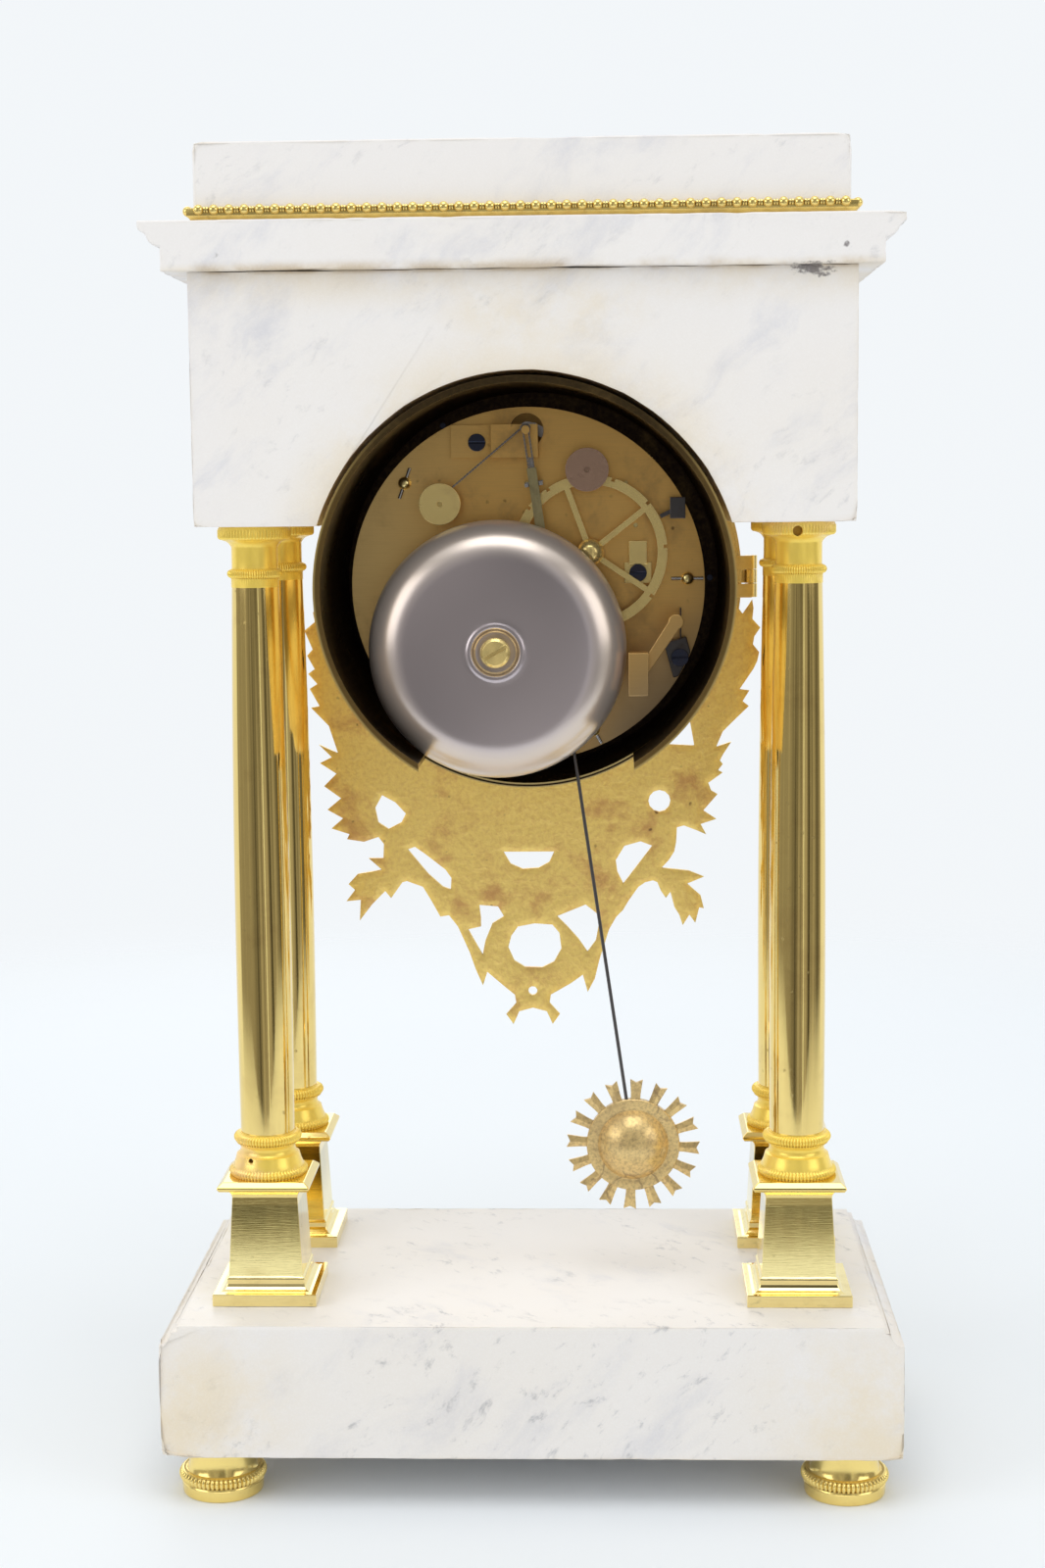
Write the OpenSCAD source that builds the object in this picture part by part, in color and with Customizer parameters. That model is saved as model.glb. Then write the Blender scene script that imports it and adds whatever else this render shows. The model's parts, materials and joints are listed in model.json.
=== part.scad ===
// Portico clock: a marble entablature on four gilt columns holds a drum with a striking movement.
// The dial faces -Y, the open back faces +Y, and the floor is the plane z = 0.

/* [Marble case] */
// Width of the base slab
base_w = 250; // [240:1:280]
// Depth of the base slab
base_d = 141; // [136:1:160]
// Height of the base slab
base_h = 46; // [36:1:60]
// Width of the moulding along the top edge of the base
base_edge = 6.5; // [4:0.5:9]
// Width of the frieze block
frieze_w = 219; // [212:1:240]
// Depth of the frieze block
frieze_d = 97; // [92:1:104]
// Height of the frieze block
frieze_h = 83; // [76:1:95]
// Height of the cornice slab
cornice_h = 16.5; // [13:0.5:22]
// Overhang of the cornice past the frieze, at the sides and the front
cornice_out = 15.5; // [12:0.5:18]
// Width of the attic block
attic_w = 214; // [200:1:216]
// Depth of the attic block
attic_d = 95; // [85:1:97]
// Height of the attic block
attic_h = 25.4; // [18:0.2:40]

/* [Feet and columns] */
// Height of a bun foot
foot_h = 18; // [14:1:26]
// Largest diameter of a bun foot
foot_d = 30; // [24:1:32]
// Distance of a foot's axis from the side and the end of the base
foot_inset = 18; // [16:0.5:22]
// Distance between column axes across the clock
column_span = 183.4; // [178:0.2:188]
// Distance between column axes from front to back
column_depth = 65.2; // [62:0.2:68]
// Height of a pedestal
pedestal_h = 42.8; // [36:0.2:50]
// Width of a pedestal's plinth
plinth_w = 35.8; // [32:0.2:38]
// Width of a pedestal's die under its cap
die_w = 22.6; // [20:0.2:24]
// Width of a pedestal's die at its foot
die_foot_w = 25.6; // [24:0.2:28]
// Width of a pedestal's cap
cap_w = 31.8; // [28:0.2:34]
// Height of a column with its base and capital
column_h = 223.7; // [210:0.1:240]
// Diameter of a shaft at its foot
shaft_d = 18.6; // [16:0.2:20]
// Diameter of a shaft at its neck
neck_d = 15.9; // [14:0.1:17]
// Diameter of the tie rods inside the columns
rod_d = 5; // [4:0.2:6]

/* [Drum and dial] */
// Outside diameter of the drum
drum_d = 139; // [136:0.5:142]
// Wall of the drum
drum_wall = 1.6; // [1.2:0.1:2]
// Distance of the drum's axis below the frieze
drum_drop = 21.5; // [18:0.5:26]
// Gap between the drum and the arch in the frieze
arch_gap = 2.4; // [1.5:0.1:3]
// Half width of the pendulum's gap in the drum
gap_half = 36; // [30:1:40]
// Thickness of the enamel dial
dial_t = 2; // [1.5:0.1:2.5]
// Width of the bezel ring
bezel_w = 14; // [12:0.5:15]
// Rise of the domed glass
glass_rise = 6; // [4:0.5:8]
// Length of the minute hand
minute_l = 52; // [44:1:56]
// Length of the hour hand
hour_l = 36; // [28:1:40]

/* [Movement] */
// Diameter of the movement plates
plate_d = 122; // [120:0.5:123]
// Thickness of a movement plate
plate_t = 3; // [2.5:0.1:3.5]
// Diameter of the bell
bell_d = 87.4; // [80:0.2:90]
// Height of the bell
bell_h = 17; // [14:0.5:18]
// Distance from the suspension to the middle of the bob
pendulum_l = 251; // [235:1:258]
// Diameter of the bob over its rays
bob_d = 46.5; // [40:0.5:52]
// Lean of the resting pendulum towards -X, in degrees
lean = 8.1; // [4:0.1:8.4]
// Outside diameter of the count wheel
count_d = 52.8; // [48:0.2:53]

/* [Hidden] */
$fn = 48;

// Clearances: a loose hole, a running fit, a gap between moving bodies
loose = 0.2;
fit = 0.05;
apart = 0.4;
eps = 0.01;

// Levels of the case
base_top = foot_h + base_h;
cap_top = base_top + pedestal_h;
frieze_z = cap_top + column_h;
frieze_top = frieze_z + frieze_h;
cornice_top = frieze_top + cornice_h;
axis_z = frieze_z - drum_drop;
column_x = column_span/2;
column_y = column_depth/2;
column_places = [
    [-column_x, -column_y], [column_x, -column_y], [-column_x, column_y], [column_x, column_y]];
rod_bore = rod_d + 2*loose;

// Pin holes at the back: in the base of the +X column and in the capital of the -X column
base_pin_at = [4.7, 6.2];
base_pin_r = 0.85;
capital_pin_at = [1.3, 17.5];
capital_pin_r = 1.7;

// Turned parts of a column
column_base_h = 15;
capital_h = 20.5;
torus_r = shaft_d/2 + 4.1;
entasis = 0.45;
shaft_rings = 16;

// Nut pockets under the base and in the top of the frieze
nut_d = 10;
nut_h = 4;
pocket_d = nut_d + 2*loose + 2;
pocket_h = 8;

// Levels along the drum's axis, from the dial to the back
frieze_face = frieze_d/2;
drum_back = 50;
flange_t = 2;
drum_r = drum_d/2;
flange_r = drum_r + 6;
drum_in = drum_r - drum_wall;
ledge_w = 6;
ledge_t = 2;
back_y = 9;
gap_y = 20;
train_gap = 42;
front_y = back_y - train_gap;
dial_plate_t = 1.5;
motion_gap = 8.5;
dial_plate_y = front_y - plate_t - motion_gap - dial_plate_t;
dial_y = dial_plate_y - dial_t;
plate_r = plate_d/2;
back_out = back_y + plate_t;

// Bezel and its hinge
bezel_gap = 0.3;
bezel_back = -frieze_face - flange_t - bezel_gap;
bezel_t = 7;
bezel_r = drum_r + 7.5;
glass_t = 1.6;
hinge_x = -bezel_r - 3.6;
hinge_y = bezel_back - 3.4;
knuckle_r = 2.3;
knuckle_h = 5;
knuckle_gap = 0.2;
hinge_leaf_l = 6.4;
hinge_pin_r = 1;

// Tooth counts of the going train, the motion work and the strike train
barrel_n = 78;
barrel_m = 0.55;
second_p = 12;
inter_n = 72;
inter_m = 0.5;
centre_p = 10;
centre_n = 80;
centre_m = 0.45;
third_p = 8;
third_n = 81;
third_m = 0.36;
escape_p = 7;
escape_n = 31;
escape_r = 12.5;
cannon_n = 14;
minute_n = 42;
motion_m = 0.45;
minute_p = 12;
hour_n = 48;
hour_m = 0.42;
count_n = 72;
count_m = 0.45;
pin_p = 8;
pin_n = 60;
pin_m = 0.45;
locking_p = 6;
locking_n = 63;
locking_m = 0.4;
fly_p = 7;

// Arbor centres in the plane of the plates, as [x, height above the drum's axis]
centre_at = [0, 0];
barrel_x = 25;
barrel_z = -13.2;
going_at = [barrel_x, barrel_z];
strike_at = [-barrel_x, barrel_z];
suspension_at = [0, 53];
escape_at = [0, 35];
inter_at = meet(centre_at, going_at,
    mesh(inter_n, centre_p, inter_m), mesh(barrel_n, second_p, barrel_m), 1);
third_at = meet(centre_at, escape_at,
    mesh(centre_n, third_p, centre_m), mesh(third_n, escape_p, third_m), 1);
count_lean = 82.3;
count_at = strike_at + mesh(barrel_n, second_p, barrel_m)*[cos(count_lean), sin(count_lean)];
pin_lean = 150;
pin_at = count_at + mesh(count_n, pin_p, count_m)*[cos(pin_lean), sin(pin_lean)];
fly_at = [-20.7, 39.4];
locking_at = meet(pin_at, fly_at,
    mesh(pin_n, locking_p, pin_m), mesh(locking_n, fly_p, locking_m), 1);
minute_at = [0, -mesh(cannon_n, minute_n, motion_m)];
hammer_at = [-50.5, -12];
detent_at = [-51.6, 26.2];
spool_at = [29.6, 28.2];
bell_at = [10, -21];
pillar_ring = 55;
pillar_angles = [40, 178, 246, 318];
pillar_places = [for (a = pillar_angles) pillar_ring*[cos(a), sin(a)]];

// Levels of the wheels between the plates
barrel_front = -20;
barrel_back = 2;
tooth_t = 2.5;
inter_y = -26;
wheel_t = 1.8;
centre_y = 5.8;
centre_t = 1.5;
third_y = -12;
escape_y = 3;
escape_t = 1.5;
locking_y = -4;

// Arbors and pivots
arbor_r = 1.2;
thin_arbor_r = 0.8;
dimple_r = 0.95;
pivot_r = 0.7;
barrel_arbor_r = 2.6;
barrel_pivot_r = 2;
square_w = 2.8;

// Bell, pendulum and count work behind the back plate
bell_r = bell_d/2;
bell_rim_y = 28;
bell_wall = 1.6;
bell_top_y = bell_rim_y + bell_h;
pendulum_y = 22;
rod_r = 0.6;
hook_l = 22;
thread_l = 13;
thread_r = 0.35;
stud_r = 1.4;
crutch_y = back_out + 1;
crutch_l = 18;
count_y = back_out + 3.2;
count_t = 1.5;
cock_y = back_out + 3.6;
cock_t = 3;
pallet_hole_r = 5.8;
screw_r = 3;
screw_h = 1.4;

// Geometry helpers

// Distance between the centres of a meshed wheel and pinion
function mesh(n, p, m) = (n + p)*m/2;

// Point at one distance from a and another from b, on the chosen side of the line between them
function meet(a, b, from_a, from_b, side) =
    let (d = norm(b - a), e = (b - a)/d, t = (from_a*from_a - from_b*from_b + d*d)/(2*d))
    a + t*e + side*sqrt(from_a*from_a - t*t)*[-e[1], e[0]];

// Angle of a follower's tooth that puts a gap opposite a tooth of its driver
function in_mesh(driver_at, n, phase, follower_at, p) =
    let (d = follower_at - driver_at, a = atan2(d[1], d[0]))
    a + 180 - 360/p*(0.5 - (a - phase)*n/360);

// Points of an arc
function arc(centre, r, from, to, steps = 8) =
    [for (i = [0:steps]) let (a = from + (to - from)*i/steps) centre + r*[cos(a), sin(a)]];

// Points of a spoked or toothed outline around the origin
function teeth(n, m, phase) =
    let (r = n*m/2, tip = r + 0.85*m, root = r - 1.2*m, step = 360/n)
    [for (i = [0:n-1], c = [[root, -0.2], [tip, -0.08], [tip, 0.08], [root, 0.2]])
        c[0]*[cos(phase + step*(i + c[1])), sin(phase + step*(i + c[1]))]];

// Solid with a rectangular plan whose four sides follow one moulding of [offset, height] points
module moulded(profile, half_x, half_y) {
    intersection() {
        rotate([90, 0, 0]) linear_extrude(3*half_y + 60, center = true) moulding_face(profile, half_x);
        rotate([90, 0, 90]) linear_extrude(3*half_x + 60, center = true) moulding_face(profile, half_y);
    }
}

module moulding_face(profile, half) {
    last = len(profile) - 1;
    polygon(concat(
        [for (p = profile) [half + p[0], p[1]]],
        [for (i = [last:-1:0]) [-half - profile[i][0], profile[i][1]]]));
}

// Flat shape in the plane of the plates, standing from y to y + t
module flat_y(y, t) {
    translate([0, y + t, 0]) rotate([90, 0, 0]) linear_extrude(t) children();
}

// Round rod along Y
module rod_y(r, y0, y1) {
    translate([0, y0, 0]) rotate([-90, 0, 0]) cylinder(r = r, h = y1 - y0);
}

// Cone along Y
module cone_y(r0, r1, y0, y1) {
    translate([0, y0, 0]) rotate([-90, 0, 0]) cylinder(r1 = r0, r2 = r1, h = y1 - y0);
}

// Turned shape about Y from [radius, y] points
module turned_y(points) {
    rotate([-90, 0, 0]) rotate_extrude($fn = 96) polygon(points);
}

// Places children on an arbor of the movement
module on(place) {
    translate([place[0], 0, axis_z + place[1]]) children();
}

// Round rod between two points
module strut(a, b, r) {
    d = b - a;
    translate(a) rotate([0, acos(d[2]/norm(d)), atan2(d[1], d[0])]) cylinder(r = r, h = norm(d), $fn = 20);
}

// Spoked brass wheel with its teeth
module wheel(n, m, y, t, spokes, rim) {
    r = n*m/2 - 1.2*m;
    flat_y(y, t) difference() {
        polygon(teeth(n, m, 0));
        difference() {
            circle(r = r - rim);
            circle(r = 3.2);
            for (i = [0:spokes-1]) {
                rotate(i*360/spokes) translate([0, -0.7]) square([r, 1.4]);
            }
        }
    }
}

module pinion(p, m, phase, y0, y1) {
    flat_y(y0, y1 - y0) polygon(teeth(p, m, phase));
}

// Steel arbor between the plates with a pivot in each
module arbor(r = arbor_r) {
    rod_y(r, front_y + apart, back_y - apart);
    rod_y(pivot_r, front_y - plate_t + apart, back_out - apart);
}

// Case

module base_slab() {
    cove = concat([[0, foot_h]], arc([0, base_top - 2], base_edge - 2, 270, 180, 6),
        [[-base_edge, base_top - 2], [-base_edge, base_top]]);
    color("whitesmoke") difference() {
        intersection() {
            rotate([90, 0, 0]) linear_extrude(base_d, center = true) moulding_face(cove, base_w/2);
            rotate([90, 0, 90]) linear_extrude(base_w, center = true) polygon(concat(
                [[base_d/2, foot_h], [base_d/2, base_top]],
                [for (i = [len(cove)-1:-1:0]) [-base_d/2 - cove[i][0], cove[i][1]]]));
        }
        for (p = column_places) {
            translate([p[0], p[1], foot_h - eps]) cylinder(d = rod_bore, h = base_h + 2*eps);
            translate([p[0], p[1], foot_h - eps]) cylinder(d = pocket_d, h = pocket_h + eps);
        }
    }
}

module feet() {
    ring = foot_d/2;
    bead = foot_h*0.117;
    profile = concat(
        [[0, 0], [ring - 1.5, 0], [ring - 1.2, foot_h*0.03], [ring - 0.9, foot_h*0.24]],
        arc([ring - bead, foot_h*0.36], bead, -60, 60, 6),
        [[ring - 2.2, foot_h*0.48], [ring - 2.5, foot_h*0.52], [ring - 2.6, foot_h], [0, foot_h]]);
    color("goldenrod") for (x = [-1, 1], y = [-1, 1]) {
        translate([x*(base_w/2 - foot_inset), y*(base_d/2 - foot_inset), 0]) {
            rotate_extrude() polygon(profile);
        }
    }
}

module pedestals() {
    plinth = plinth_w/2;
    die = die_w/2;
    die_foot = die_foot_w/2;
    cap = cap_w/2;
    h = pedestal_h;
    profile = concat(
        [[plinth, 0], [plinth, 4.2], [plinth - 1.8, 4.2]],
        arc([plinth - 1.8, 7], 2.8, 270, 190, 4),
        [[die_foot + 0.6, 8.4], [die_foot, 9.2], [die, h - 6.2]],
        arc([die + 3, h - 6.2], 3, 180, 90, 4),
        [[cap - 0.6, h - 3.2]],
        arc([cap - 0.9, h - 2], 0.9, -60, 60, 4),
        [[torus_r + 0.6, h]]);
    color("goldenrod") for (p = column_places) translate([p[0], p[1], base_top]) difference() {
        moulded(profile, 0, 0);
        translate([0, 0, -eps]) cylinder(d = rod_bore, h = h + 2*eps);
    }
}

module column_bases() {
    r = shaft_d/2;
    color("goldenrod") for (p = column_places) {
        translate([p[0], p[1], cap_top]) difference() {
            rotate_extrude() polygon(concat(
                [[0, 0], [torus_r - 0.3, 0]],
                arc([torus_r - 1.1, 1.2], 1.1, -60, 75, 5),
                [[torus_r - 1.2, 3], [torus_r - 1.9, 4.6]],
                arc([r + 2.3, 9], 2.2, 250, 110, 7),
                arc([r + 0.8, 12.9], 1.5, -70, 80, 6),
                [[r + 0.4, 14.6], [r + 0.4, column_base_h], [0, column_base_h]]));
            translate([0, 0, -eps]) cylinder(d = rod_bore, h = column_base_h + 2*eps);
            if (p[0] > 0 && p[1] > 0) {
                translate([base_pin_at[0], 0, base_pin_at[1]]) rod_y(base_pin_r, rod_d, 2*torus_r);
            }
        }
    }
}

module column_shaft(i) {
    p = column_places[i];
    h = column_h - column_base_h - capital_h;
    foot = shaft_d/2;
    neck = neck_d/2;
    color("gold") translate([p[0], p[1], cap_top + column_base_h]) difference() {
        rotate_extrude() polygon(concat(
            [[0, 0]],
            [for (k = [0:shaft_rings]) let (t = k/shaft_rings)
                [foot + (neck - foot)*t*t + entasis*sin(180*t), h*t]],
            [[0, h]]));
        translate([0, 0, -eps]) cylinder(d = rod_bore, h = h + 2*eps);
    }
}

module capitals() {
    neck = neck_d/2 - 0.2;
    ring = neck + 4.6;
    color("goldenrod") for (p = column_places) {
        translate([p[0], p[1], frieze_z - capital_h]) difference() {
            rotate_extrude() polygon(concat(
                [[0, 0], [neck + 0.3, 0], [neck + 0.3, 2.9]],
                arc([neck + 0.2, 4.6], 1.4, -80, 80, 7),
                [[neck, 6.3], [neck, 13.9], [neck + 1, 14.9]],
                arc([ring - 1.2, 17.2], 1.2, -90, 0, 4),
                [[ring, 19.4], [ring - 0.6, capital_h], [0, capital_h]]));
            translate([0, 0, -eps]) cylinder(d = rod_bore, h = capital_h + 2*eps);
            if (p[0] < 0 && p[1] > 0) {
                translate([capital_pin_at[0], 0, capital_pin_at[1]]) rod_y(capital_pin_r, rod_d, 2*ring);
            }
        }
    }
}

module tie_rods() {
    low = foot_h + pocket_h - nut_h;
    high = frieze_top - pocket_h + nut_h;
    color("dimgray") for (p = column_places) {
        translate([p[0], p[1], 0]) {
            translate([0, 0, low - 2]) cylinder(d = rod_d, h = high - low + 4);
            translate([0, 0, low]) cylinder(d = nut_d, h = nut_h, $fn = 6);
            translate([0, 0, high - nut_h]) cylinder(d = nut_d, h = nut_h, $fn = 6);
        }
    }
}

module frieze_block() {
    color("whitesmoke") difference() {
        translate([-frieze_w/2, -frieze_face, frieze_z]) cube([frieze_w, frieze_d, frieze_h]);
        on(centre_at) rod_y(drum_r + arch_gap, -frieze_face - eps, frieze_face + eps);
        for (p = column_places) {
            translate([p[0], p[1], frieze_z - eps]) cylinder(d = rod_bore, h = frieze_h + 2*eps);
            translate([p[0], p[1], frieze_top - pocket_h]) cylinder(d = pocket_d, h = pocket_h + eps);
        }
        for (a = ear_angles) {
            on(ear_ring*[cos(a), sin(a)]) {
                rod_y(ear_screw_r + loose, -frieze_face - eps, ear_screw_l - frieze_face);
            }
        }
    }
}

module cornice_slab() {
    band = cornice_out - 7.2;
    side = concat([[0, 0], [band, 0], [band, cornice_h*0.49]],
        arc([band, cornice_h*0.49 + 4.6], 4.6, 270, 350, 6),
        [[cornice_out, cornice_h - 2.8], [cornice_out, cornice_h]]);
    back = 4;
    color("whitesmoke") translate([0, 0, frieze_top]) intersection() {
        rotate([90, 0, 0]) linear_extrude(3*frieze_d, center = true) moulding_face(side, frieze_w/2);
        rotate([90, 0, 90]) linear_extrude(2*frieze_w, center = true) polygon(concat(
            [[frieze_face + back, 0], [frieze_face + back, cornice_h]],
            [for (i = [len(side)-1:-1:0]) [-frieze_face - side[i][0], side[i][1]]]));
    }
}

module attic_block() {
    color("whitesmoke") translate([-attic_w/2, -attic_d/2, cornice_top]) cube([attic_w, attic_d, attic_h]);
}

// Strip round the foot of the attic, carrying a row of beads
bead_pitch = 5;
bead_r = 1.55;
bead_out = 2.4;
bead_z = 3.5;

module bead_moulding() {
    half_x = attic_w/2;
    half_y = attic_d/2;
    strip = [[0.7, 0], [bead_out + 0.9, 2], [bead_out + 0.9, bead_z], [bead_out - 0.9, bead_z + 0.4]];
    across = floor((attic_w + 2*bead_out)/bead_pitch/2);
    along = floor((attic_d + 2*bead_out)/bead_pitch/2);
    color("goldenrod") translate([0, 0, cornice_top]) {
        difference() {
            moulded(strip, half_x, half_y);
            translate([-half_x, -half_y, -1]) cube([attic_w, attic_d, bead_z + 3]);
        }
        for (i = [-across:across], s = [-1, 1]) {
            translate([i*bead_pitch, s*(half_y + bead_out), bead_z]) sphere(bead_r);
        }
        for (i = [-along:along], s = [-1, 1]) {
            translate([s*(half_x + bead_out), i*bead_pitch, bead_z]) sphere(bead_r);
        }
    }
}

// Drum, apron and dial

ear_angles = [48, 132];
ear_r = 4.6;
ear_screw_r = 1.2;
ear_ring = bezel_r + 2*ear_screw_r + apart;
ear_screw_l = 9;
apron_angles = [-25, -90, -155];
apron_ring = drum_r + 3;
ledge_angles = [60, 180, 300];
ledge_ring = drum_in - ledge_w/2;
ledge_front = dial_plate_y + dial_plate_t;
hinge_ear = 9;

module drum() {
    outer = drum_r;
    front = -frieze_face - flange_t;
    color("saddlebrown") on(centre_at) difference() {
        union() {
            turned_y([
                [drum_in, front], [flange_r, front], [flange_r, front + flange_t],
                [outer, front + flange_t], [outer, drum_back - 2], [outer + 0.7, drum_back - 1.4],
                [outer + 0.7, drum_back], [drum_in, drum_back], [drum_in, ledge_front + ledge_t],
                [drum_in - ledge_w, ledge_front + ledge_t], [drum_in - ledge_w, ledge_front],
                [drum_in, ledge_front]]);
            for (a = ear_angles) {
                flat_y(front, flange_t) hull() {
                    translate(ear_ring*[cos(a), sin(a)]) circle(ear_r, $fn = 32);
                    translate((outer + 1)*[cos(a), sin(a)]) circle(ear_r, $fn = 32);
                }
            }
            hinge_leaf(front);
        }
        for (a = ear_angles) {
            translate([ear_ring*cos(a), 0, ear_ring*sin(a)]) {
                rod_y(ear_screw_r + loose, front - 1, front + 6);
            }
        }
        for (a = apron_angles) {
            translate([apron_ring*cos(a), 0, apron_ring*sin(a)]) {
                rod_y(ear_screw_r, front + 0.6, front + 6);
            }
        }
        for (a = ledge_angles) {
            translate([ledge_ring*cos(a), 0, ledge_ring*sin(a)]) {
                rod_y(ear_screw_r, ledge_front - 1, ledge_front + 6);
            }
        }
        translate([-gap_half, gap_y, -outer - 5]) cube([2*gap_half, drum_back, 30]);
    }
}

// Leaf on the drum's flange with the two outer knuckles of the bezel's hinge
module hinge_leaf(front) {
    for (s = [-1, 1]) {
        z = s*(knuckle_h + knuckle_gap) - knuckle_h/2;
        difference() {
            union() {
                translate([hinge_x, hinge_y, z]) cylinder(r = knuckle_r, h = knuckle_h);
                translate([hinge_x, hinge_y, z]) cube([knuckle_r, front + flange_t - hinge_y, knuckle_h]);
                translate([hinge_x, front, z]) cube([hinge_ear, flange_t, knuckle_h]);
            }
            translate([hinge_x, hinge_y, z - 1]) cylinder(r = hinge_pin_r + fit, h = knuckle_h + 2);
        }
    }
}

// Pierced apron of leaves below the drum. Its points are drawn about the drum's axis for a drum of
// drawn_r, and move out or in with the drum's radius.
drawn_r = 69.5;
apron_t = 2.2;
apron_under = [[-66, -12], [-60, -30], [-40, -54], [0, -66], [40, -54], [60, -30], [66, -12]];
apron_plus = [
    [78.5, -9.6], [82, -11.8], [81.4, -15.4], [85.3, -18.6], [82.4, -25.6], [84.5, -27.9], [81.8, -32.9],
    [84.2, -34.7], [80.9, -38.5], [83.8, -40.3], [80.2, -46.8], [83.4, -47.4], [76.9, -54.2], [73.6, -64.6],
    [80.7, -61.3], [76, -66], [80.5, -68.2], [74.4, -72.2], [79.1, -76.9], [72.8, -81.5], [78, -85.8],
    [72.2, -89.1], [76.6, -92.9], [69.9, -95.1], [70.9, -97], [64.5, -98], [59, -96.2], [57, -98.9],
    [57.3, -104.3], [62.8, -104.3], [57.9, -108.7], [67.1, -110.3], [70.6, -114.1], [68.2, -116.3],
    [71.5, -120.6], [66.1, -120.1], [66.6, -128], [61.7, -121.7], [56.8, -116.8], [54.6, -119.5],
    [50.3, -113.5], [48.6, -113], [42.6, -115.2], [39.4, -120.6], [36.2, -126.6], [32.9, -126.1],
    [29.6, -130.4], [25.3, -140.2], [23.1, -146.7], [20.4, -153], [18.7, -147.8], [15.5, -150.6],
    [11.1, -154.4], [8.4, -156.6], [7.9, -159.8], [11.7, -164.1], [9, -167.9], [6.8, -163], [1.6, -161.6]];
apron_minus = [
    [-3.6, -163], [-5.8, -167.9], [-8.5, -164.1], [-4.7, -159.8], [-5.2, -156.6], [-12.7, -152.3],
    [-17.3, -149], [-19.1, -155.6], [-21.8, -150.5], [-23.6, -143.2], [-27.3, -131.6], [-30, -126.9],
    [-32.5, -124.4], [-34.7, -120.7], [-38.3, -115.6], [-40.9, -113.8], [-43.8, -113.1], [-45.4, -113.8],
    [-46.7, -117], [-48.6, -119.8], [-50.3, -117.5], [-51.8, -123.3], [-53.6, -126.2], [-54.9, -130.2],
    [-57.4, -126.2], [-59.6, -129.3], [-61.1, -123.4], [-62.8, -123.8], [-61.6, -118.9], [-56.5, -114.4],
    [-62.8, -111.8], [-57.2, -109.5], [-47, -108.4], [-49.7, -105.5], [-51.8, -102.2], [-52.5, -98.6],
    [-52.8, -93.1], [-55.4, -92.4], [-60.1, -94.2], [-63.7, -95.8], [-61.6, -91.9], [-67.4, -90],
    [-62.6, -86.8], [-67.9, -80.7], [-65.6, -79.3], [-64.5, -76.4], [-69.8, -72.6], [-68.1, -71.7],
    [-69.9, -69.4], [-68.8, -68.1], [-69.9, -65.9], [-73, -61.1], [-67.4, -63], [-69.9, -57.2],
    [-74.3, -52.8], [-79.5, -47.8], [-77.2, -46], [-79.7, -42], [-76.1, -41.5], [-81.2, -34],
    [-82.6, -31.1], [-83.3, -27.8], [-81, -24.9], [-81.5, -22], [-83.7, -18.7], [-80.8, -15.5],
    [-81.2, -11.5], [-80.7, -8.4], [-77.2, -13.6], [-75.7, -11.5]];
apron_holes = [
    [[57.4, -80.4], [60.1, -85.3], [59, -90.7], [55.2, -93.2], [50.3, -90.7], [48.6, -87.4], [52.5, -83.1]],
    [[48.1, -101], [45.4, -100], [41.6, -102.7], [34, -108.7], [31.8, -111.9], [32.1, -116.3], [35.1, -115.2],
        [40.5, -110.3]],
    [[21.5, -122.2], [14.4, -122.8], [12.2, -126.6], [16.6, -129.3], [19.3, -135.9], [20.4, -141.3],
        [25.8, -131.5], [20.9, -130.4], [20.9, -127.2]],
    arc([-46.3, -83.1], 4.1, 0, 330, 11),
    [[-43.6, -100], [-39.2, -98.3], [-33.2, -100], [-29.9, -105.4], [-30.5, -109.8], [-32.7, -114.3]],
    [[-57.7, -53.2], [-59.3, -62.4], [-49.5, -61.9]],
    [[-7.7, -126.6], [-18.5, -122.2], [-24, -126.6], [-22.3, -135.9], [-19.1, -140.2], [-15.8, -135.3],
        [-11.5, -130.4]],
    [[12.2, -102], [9.5, -106.6], [5, -108.6], [-1, -108.2], [-5, -106], [-6.9, -102]],
    [[0.7, -129.3], [7, -130.5], [9.5, -134], [10.7, -138.5], [8.5, -143.5], [4.5, -146], [-2, -146.2],
        [-6.5, -144], [-9.3, -139], [-8.6, -133], [-6, -129.8]],
    arc([1.6, -155.1], 1.75, 0, 320, 8)];

// Point of the apron, kept at its drawn distance from the drum
function by_drum(p) = p*(1 + (drum_r - drawn_r)/norm(p));

module apron_mount() {
    color("darkgoldenrod") on(centre_at) difference() {
        flat_y(-frieze_face, apron_t) difference() {
            polygon([for (p = concat(apron_plus, apron_minus, apron_under)) by_drum(p)]);
            for (h = apron_holes) polygon([for (p = h) by_drum(p)]);
        }
        rod_y(drum_r + loose, -frieze_face - 1, 0);
        for (a = apron_angles) {
            translate([apron_ring*cos(a), 0, apron_ring*sin(a)]) {
                rod_y(ear_screw_r + loose, -frieze_face - 1, 0);
            }
        }
    }
}

// Slotted round-headed screw along Y, its head on the side that dir points to
module screw_y(r, head_y, length, dir) {
    difference() {
        union() {
            rod_y(r, min(head_y, head_y - dir*length), max(head_y, head_y - dir*length));
            rod_y(2*r, min(head_y, head_y + dir*screw_h), max(head_y, head_y + dir*screw_h));
        }
        translate([-2.5*r, head_y + dir*screw_h - 0.4, -0.3]) cube([5*r, 0.8, 0.6]);
    }
}

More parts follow.
